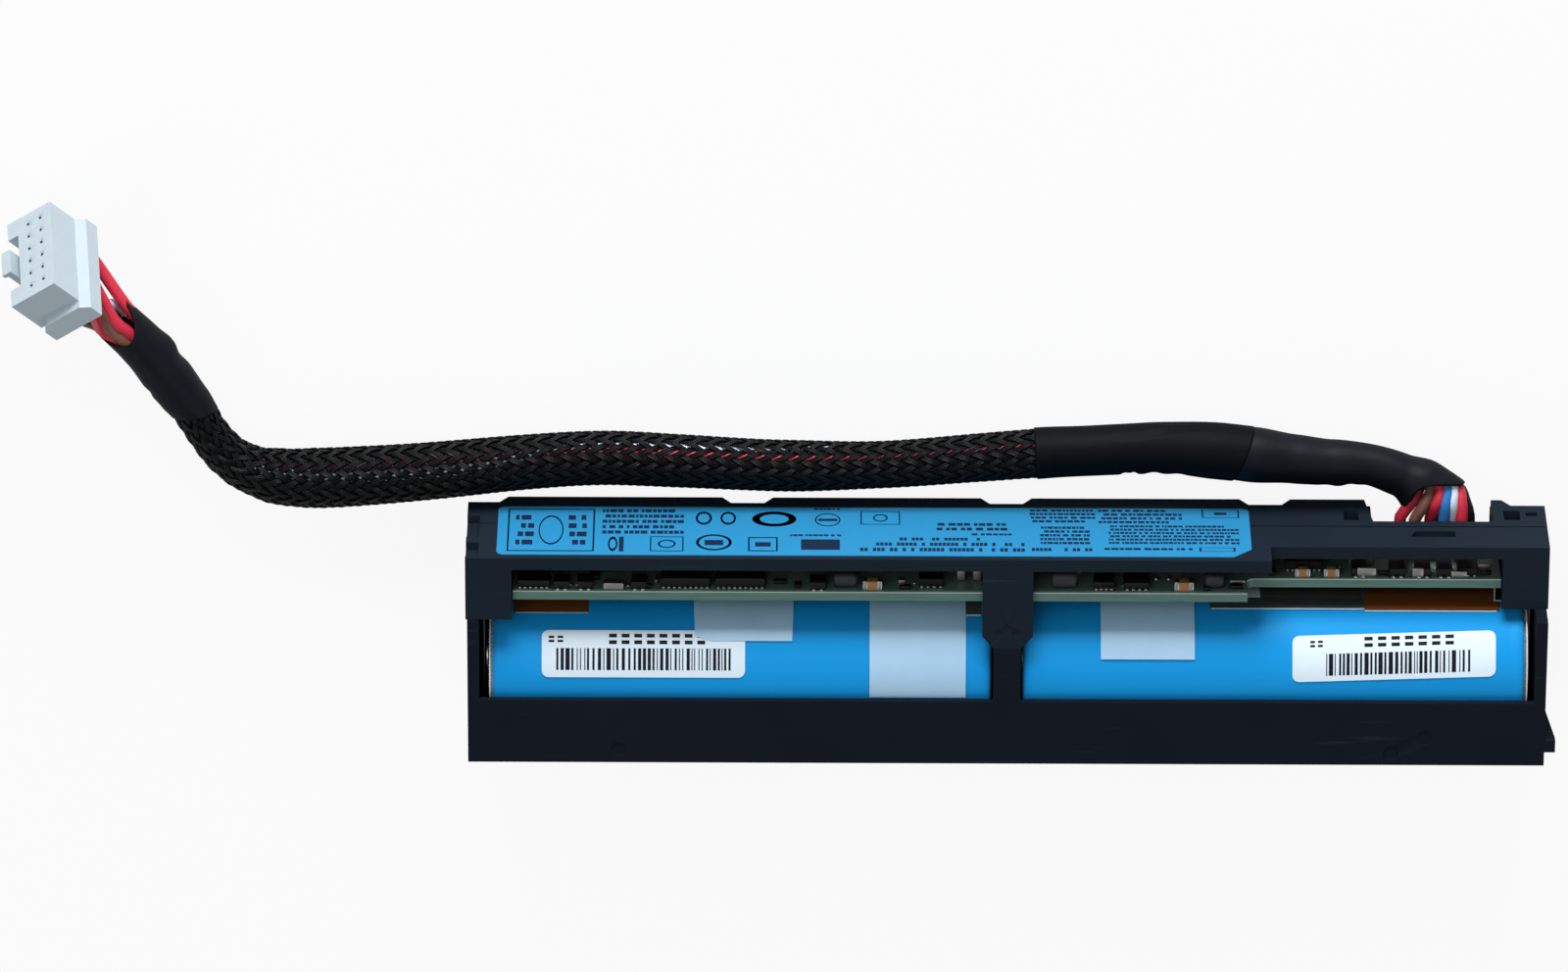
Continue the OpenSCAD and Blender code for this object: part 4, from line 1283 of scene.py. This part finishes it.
# Points of the route, and the braid's middle radius there in mm
BRAID_RADII: tuple = (
    (3, 1.7), (5, 2.6), (8, 2.88), (10, 2.76), (11, 3.05), (13, 3.22), (15, 3.34), (17, 3.4),
    (18, 3.2), (19, 2.72), (20, 2.45), (21, 2.34), (22, 2.42), (24, 2.2),
)

# The section of one ribbon of the braid, in widths and thicknesses
RIBBON_RIM: tuple = ((-0.5, 0.0), (-0.3, 0.5), (0.3, 0.5), (0.5, 0.0), (0.3, -0.5), (-0.3, -0.5),
                     (-0.5, 0.0))

# Points of the route, mm past them, and the housing's shrink sleeve's radius there in mm
HOUSING_RADII: tuple = ((2, 0, 2.5), (3, 0, 2.32), (4, -2, 2.6), (4, 3, 2.85), (5, 0, 3.25),
                        (5, 4, 3.1))

# Radii in mm at shares of a covering's length, and its swells and dents as dents() takes them
TAPE_RADII: tuple = ((0, 3.68), (0.14, 3.68), (0.4, 3.42), (0.62, 3.26), (1, 3.34))
TAPE_DENTS: tuple = ((-0.25, 0.465, 0.06, 155, 55), (-0.12, 0.34, 0.06, 155, 55))
PLUG_SLEEVE_RADII: tuple = ((0, 2.85), (0.12, 3.05), (0.35, 3.25), (0.62, 3.1), (0.85, 3.0),
                            (1, 2.95))
PLUG_SLEEVE_DENTS: tuple = ((0.32, 0.56, 0.12, -10, 50), (-0.22, 0.42, 0.1, -10, 60),
                            (-0.2, 0.33, 0.08, 165, 60), (-0.12, 0.55, 0.3, 60, 16))

# Places along Y and rises, in mm, of a wire's first points from the board outward
WIRE_EXIT: tuple = ((-9.45, 0), (-11.85, 0.4), (-14, 0.6))


@dataclass
class Lead:
    """The sleeved lead: eight wires, a braid, and the coverings on it."""

    route: Route
    wire_r: float = 0.8 * MM
    carriers: int = 18
    braid_pitch: float = 40 * MM
    braid_r: float = 3.1 * MM
    weave: float = 0.24 * MM
    ribbon_w: float = 0.74 * MM
    ribbon_t: float = 0.24 * MM
    tip: float = 1.5 * MM
    tip_r: float = 0.9 * MM
    wall: float = 0.35 * MM
    ring_r: tuple[float, float] = (1.3 * MM, 2.3 * MM)
    ring_inset: float = 0.85 * MM
    gather: float = 14 * MM
    plug_spread: float = 1.5 * MM

    def braid_radius(self, at: float) -> float:
        """Returns the braid's middle radius, which is small inside both end sleeves.

        Args:
            at: The distance along the route.

        Returns:
            The radius in metres.
        """
        rows = [(self.route.at_point[i], r * MM) for i, r in BRAID_RADII]
        end = self.route.length - self.tip
        return blend_table([(self.tip, self.tip_r), *rows, (end, self.tip_r)], at)

    def flatness(self, at: float) -> float:
        """Returns how much wider than high the braid lies, where it is slack."""
        ends = self.route.at_point
        return 1 + 0.07 * bell(at, ends[17], ends[17] - ends[14])

    def strand(self, bm: BMesh, start: float, turn: int, phase: float) -> None:
        """Adds one woven ribbon.

        Args:
            bm: The braid's mesh.
            start: Its angle at the start of the route.
            turn: 1 or -1, the way it winds.
            phase: Its place in the over-two under-two weave.
        """
        step = self.braid_pitch / (4 * self.carriers)
        length = self.route.length - 2 * self.tip
        section = len(RIBBON_RIM) - 1
        lean = math.atan(math.tau * self.braid_r / self.braid_pitch)
        grid = unit_grid(bm, round(length / step), section)
        layer = bm.loops.layers.uv.verify()
        for v, along, around in grid:
            w, t = RIBBON_RIM[round(around * section)]
            for loop in v.link_loops:
                loop[layer].uv = (along, w + 0.5)
            at = self.tip + along * length
            crossing = 2 * self.carriers * at / self.braid_pitch
            swing = math.cos(math.pi / 2 * (phase + turn * crossing) - math.pi / 4)
            radius = self.braid_radius(at) + self.weave * turn * swing
            angle = start + turn * math.tau * at / self.braid_pitch
            angle += w * self.ribbon_w * math.cos(lean) / radius
            place = at - turn * w * self.ribbon_w * math.sin(lean)
            radius += t * self.ribbon_t
            across = radius * math.cos(angle) * self.flatness(at)
            v.co = self.route.spot(place, across, radius * math.sin(angle))

    def braid(self) -> Object:
        """Returns the woven sleeve."""
        bm = bmesh.new()
        for i in range(self.carriers):
            angle = math.tau * i / self.carriers
            self.strand(bm, angle, 1, 2 * i)
            self.strand(bm, angle, -1, 2 * i)
        bmesh.ops.remove_doubles(bm, verts=bm.verts, dist=1e-7)
        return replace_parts(as_piece("woven_sleeve", bm, "braid", 60), "braided_sleeve")

    def covering(self, name: str, node: str, slot: str, ends: tuple[float, float],
                 radius: Callable[[float, float], float], slants: tuple[float, float],
                 cuts: tuple[float, float] = (0.0, 0.0), curl: float = 0.0) -> None:
        """Makes a tube over part of the lead, open at both ends.

        Args:
            name: The piece's name.
            node: The CAD node that it replaces.
            slot: The record's material slot.
            ends: Where it starts and ends along the route.
            radius: Its outer radius at a distance along the route and an angle.
            slants: How far each end's rim leans forward, for each unit of across.
            cuts: How far each end's rim is cut back on top, for each unit of up.
            curl: How far the first rim's side reaches out, for each mm of across, squared.
        """
        rings = round((ends[1] - ends[0]) / (0.3 * MM))
        bm = bmesh.new()
        for v, share, turn in unit_grid(bm, rings, 48):
            angle = math.tau * turn
            at = ends[0] + share * (ends[1] - ends[0])
            near = (max(0, 1 - share * 3), max(0, share * 3 - 2))
            reach = max(0.0, radius(at, angle) * math.cos(angle))
            at -= curl / MM * reach ** 2 * near[0]
            r = radius(at, angle)
            across = r * math.cos(angle)
            up = r * math.sin(angle)
            lean = across * (slants[0] * near[0] + slants[1] * near[1])
            lean += max(0, up) * (cuts[0] * near[0] - cuts[1] * near[1])
            v.co = self.route.spot(at + lean, across, up)
        bmesh.ops.remove_doubles(bm, verts=bm.verts, dist=1e-7)
        bmesh.ops.recalc_face_normals(bm, faces=bm.faces)
        bm.faces.ensure_lookup_table()
        face = bm.faces[len(bm.faces) // 2]
        middle = self.route.spot((ends[0] + ends[1]) / 2)
        if face.normal.dot(face.calc_center_median() - middle) < 0:
            bmesh.ops.reverse_faces(bm, faces=bm.faces)
        piece = as_piece(name, bm, slot, 60, outward=False)
        shell = piece.modifiers.new("wall", "SOLIDIFY")
        shell.thickness = self.wall
        shell.offset = -1
        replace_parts(piece, node)

    def housing_sleeve(self, at: float, angle: float) -> float:
        """Returns the shrink sleeve's radius: wide at its mouth, drawn in where it bends."""
        ends = self.route.at_point
        wide = math.cos(angle) ** 2
        mouth = 2.75 * MM + 0.75 * MM * wide + 0.35 * MM * max(0.0, math.sin(angle))
        rows = [(-1.5 * MM, mouth), (ends[1], mouth - 0.15 * MM)]
        rows += [(ends[i] + past * MM, r * MM) for i, past, r in HOUSING_RADII]
        r = blend_table(rows, at)
        lip = ease(1 - turn_gap(angle, 160) / 26)
        r += 0.1 * MM * lip * bell(at, ends[4] - 3.5 * MM, 5 * MM) * (1 + math.sin(at / (0.5 * MM)))
        return r - 0.08 * MM * math.sin(3 * angle + at / (3 * MM)) * bell(at, ends[2], 7 * MM)

    def tape_cover(self, at: float, angle: float) -> float:
        """Returns the tape wrap's radius, with its swell, its notch and its crease."""
        ends = self.route.at_point
        start, end = ends[5], ends[8]
        share = (at - start) / (end - start)
        r = blend_table(TAPE_RADII, share) * MM
        r += 0.03 * MM * math.sin(share * 14 + 2 * angle)
        below = ease(1 - turn_gap(angle, 155) / 55)
        r -= 0.6 * MM * (1 - min(1.0, abs(share - 0.58) / 0.045)) * below
        r += dents(share, angle, TAPE_DENTS)
        crease = min(38.0, 36 + (share - 0.51) * 100)
        past = math.degrees(angle) - crease
        fold = bell(share, 0.42, 0.3)
        r -= 0.2 * MM * fold * ease(1 - abs(past) / 6)
        r += 0.1 * MM * fold * bell(past, -13, 14)
        return min(r, 3.7 * MM)

    def plug_cover(self, at: float, angle: float) -> float:
        """Returns the plug sleeve's radius, with the kinks where it bends."""
        ends = self.route.at_point
        start, end = ends[22], ends[25]
        share = (at - start) / (end - start)
        r = blend_table(PLUG_SLEEVE_RADII, share) * MM
        r += dents(share, angle, PLUG_SLEEVE_DENTS)
        return min(r, 3.4 * MM)

    def place_in_sleeve(self, plan: WirePlan, at: float) -> tuple[float, float]:
        """Finds where a wire runs in the sleeve.

        Args:
            plan: The wire.
            at: The distance along the route.

        Returns:
            How far it is to the side and above the middle.
        """
        least, most = self.ring_r
        ring = min(most, max(least, self.braid_radius(at) - self.ring_inset))
        turn = blend_table(plan.ring, at) if isinstance(plan.ring, tuple) else plan.ring
        angle = math.radians(turn or 0)
        size = 0.0 if turn is None else ring
        home = (size * math.cos(angle), size * math.sin(angle))
        last = tuple(c * self.plug_spread for c in plan.plug_mouth)
        share = ease((at - self.route.length + self.gather) / self.gather)
        return tuple(h * (1 - share) + p * share for h, p in zip(home, last))

    def wire_points(self, plan: WirePlan, plug: Plug) -> list[Vector]:
        """Returns a wire's points, from the board to its contact."""
        points = [Vector((plan.exit_x, y, plan.exit_z + rise)) * MM
                  for y, rise in WIRE_EXIT]
        points += [Vector(plan.bow) * MM, Vector(plan.mouth) * MM]
        count = round(self.route.length / (2.5 * MM))
        for i in range(2, count + 1):
            at = self.route.length * i / count
            points.append(self.route.spot(at, *self.place_in_sleeve(plan, at)))
        for y in (-1.2, 1.5):
            points.append(plug.contact(*plan.contact, y))
        return points

    def wires(self, plug: Plug) -> list[str]:
        """Makes the wires, one piece of each colour, and returns the pieces' names."""
        names = []
        for colour in dict.fromkeys(plan.colour for plan in WIRE_PLANS):
            bm = bmesh.new()
            plans = [plan for plan in WIRE_PLANS if plan.colour == colour]
            for plan in plans:
                line = Route(self.wire_points(plan, plug), 0.9 * MM).line
                sweep(bm, line, self.wire_r)
            node = colour + ("_wires" if len(plans) > 1 else "_wire")
            names.append(node + "_full")
            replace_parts(as_piece(names[-1], bm, "wire_" + colour, 60), node)
        return names

    def build(self, plug: Plug) -> None:
        """Args:
            plug: The plug at its end.
        """
        braid = self.braid()
        ends = self.route.at_point
        self.covering("housing_shrink_sleeve", "shrink_sleeve", "shrink_tube",
                      (2.4 * MM, ends[5] + 4 * MM), self.housing_sleeve, (0, 0), curl=0.43)
        self.covering("taped_wrap", "tape_wrap", "wrap_tape",
                      (ends[5] + 1.4 * MM, ends[8] + 0.3 * MM), self.tape_cover, (-0.3, 0.0))
        self.covering("plug_shrink_sleeve", "plug_sleeve", "shrink_tube",
                      (ends[22], ends[25]), self.plug_cover, (-0.45, 0.1), (0, 1.2))
        pieces = self.wires(plug)


# The lead's line in mm, its heights counted from the line of a lead that lies on the table
REST_Z = 3.74
LEAD_PLAN: tuple = (
    (-55.2, -16.8, 1), (-53.6, -17.9, 0.7), (-51, -19.3, 0.4), (-46.5, -20.7, 0.1),
    (-40.2, -21, 0), (-31.8, -21.9, 0), (-21.8, -22.8, 0), (-9.2, -22.3, 0), (-4, -22, 0),
    (4, -21.3, 0), (16, -20.3, 0), (29, -20.1, 0), (42, -20.7, 0), (52, -21.1, 0),
    (61.8, -20.5, 0), (74, -19.2, 0), (82, -18.5, 0), (89, -18.1, 0), (94.1, -18.3, 0),
    (97.9, -19.4, 0), (100.8, -21.4, 0), (103, -24.2, 0), (105, -27.7, 0.1),
    (107.7, -31.8, 0.3), (111.1, -36.8, 0.7), (115.3, -41.4, 1.1),
)


# ---- Stage ----


@dataclass
class Studio:
    """The camera, the floor and the lights."""

    aim: Vector = field(default_factory=lambda: Vector((28.81, -24.92, 20.4)) * MM)
    elevation: float = 65.1
    roll: float = 180.21
    distance: float = 1.519
    lens: float = 272.8
    white: float = 0.9
    lamps: tuple = (
        ("front", (0.05, -1.0, 0.25), 0.5, 12.2),
        ("above", (0.25, -0.42, 1.0), 0.5, 2.0),
        ("right", (-0.7, 0.5, 0.7), 0.6, 1.9),
        ("left", (0.75, 0.5, 0.7), 0.6, 2.1),
    )

    def camera(self) -> None:
        """Adds the camera."""
        data = bpy.data.cameras.new("camera")
        data.lens = self.lens
        data.sensor_width = 36
        data.clip_end = 20
        camera = in_scene("camera", data)
        lean = math.radians(90 - self.elevation)
        turn = Matrix.Rotation(lean, 4, "X") @ Matrix.Rotation(math.radians(self.roll), 4, "Z")
        back = Matrix.Translation((0, 0, self.distance))
        camera.matrix_world = Matrix.Translation(self.aim) @ turn @ back
        bpy.context.scene.camera = camera

    def light(self, name: str, place: Sequence[float], size: float, power: float) -> None:
        """Adds a soft square light that faces the module.

        Args:
            name: The light's name.
            place: Where it stands, in metres.
            size: Its side in metres.
            power: Its power in watts.
        """
        data = bpy.data.lights.new(name, "AREA")
        data.size = size
        data.energy = power
        lamp = in_scene(name, data)
        lamp.location = place
        lamp.rotation_euler = (self.aim - Vector(place)).to_track_quat("-Z", "Y").to_euler()

    def floor(self) -> None:
        """Adds the pale floor, which shows the camera a share of plain white."""
        t = Tree("floor", (0.85, 0.85, 0.85), 0.9, 0.0)
        path = t.add("LightPath").outputs
        seen = t.math("MAXIMUM", path["Is Camera Ray"], path["Is Transmission Ray"])
        share = t.math("MULTIPLY", seen, self.white)
        glow = t.add("Emission").outputs[0]
        mixed = t.add("MixShader", n0=share, n1=t.shader.outputs[0], n2=glow)
        t.links.new(mixed.outputs[0], t.nodes["Material Output"].inputs["Surface"])
        bm = bmesh.new()
        bmesh.ops.create_grid(bm, x_segments=1, y_segments=1, size=3)
        floor = in_scene("floor", meshed("floor", bm))
        floor.data.materials.append(t.material)

    def world(self) -> None:
        """Sets an even soft light all round."""
        world = bpy.data.worlds.new("world")
        world.use_nodes = True
        background = world.node_tree.nodes["Background"]
        background.inputs["Color"].default_value = (0.93, 0.97, 1.0, 1)
        background.inputs["Strength"].default_value = 0.25
        bpy.context.scene.world = world

    def set_up(self) -> None:
        """Adds everything but the camera."""
        self.floor()
        self.world()
        for lamp in self.lamps:
            self.light(*lamp)
        bpy.context.scene.view_settings.view_transform = "Standard"


def main() -> None:
    """Builds the module's looks, piece by piece."""
    logging.basicConfig(level=logging.INFO, format="%(name)s: %(message)s")
    studio = Studio()
    studio.camera()
    plug = Plug()
    route = Route([Vector((x, y, REST_Z + z)) * MM for x, y, z in LEAD_PLAN])
    plug.build()
    Lead(route).build(plug)
    Housing().build()
    cells = Cells()
    cells.build()
    CellPrint(cells, "cell_label_right", "right_cell_label", (35.6, 58.2, 13.4, 30.9),
              ((38.9, 51.9, 34.2, 42.6, 8), (57.2, 59.5, 35.6, 40.8, 2)), 0.0, 7).build()
    CellPrint(cells, "cell_label_left", "left_cell_label", (-59.7, -41.1, 12.7, 30.2),
              ((-57.6, -45.4, 34.8, 43, 7), (-40.7, -38.7, 35.8, 41, 2)), -0.21, 11).build()
    RatingPrint().build()
    Board().build()
    for part in frame["record"]["subparts"]:
        if not frame["nodes"][part["node"]].hide_render:
            dress_node(part["node"], part["material_slot"])
    studio.set_up()


if __name__ == "__main__":
    main()
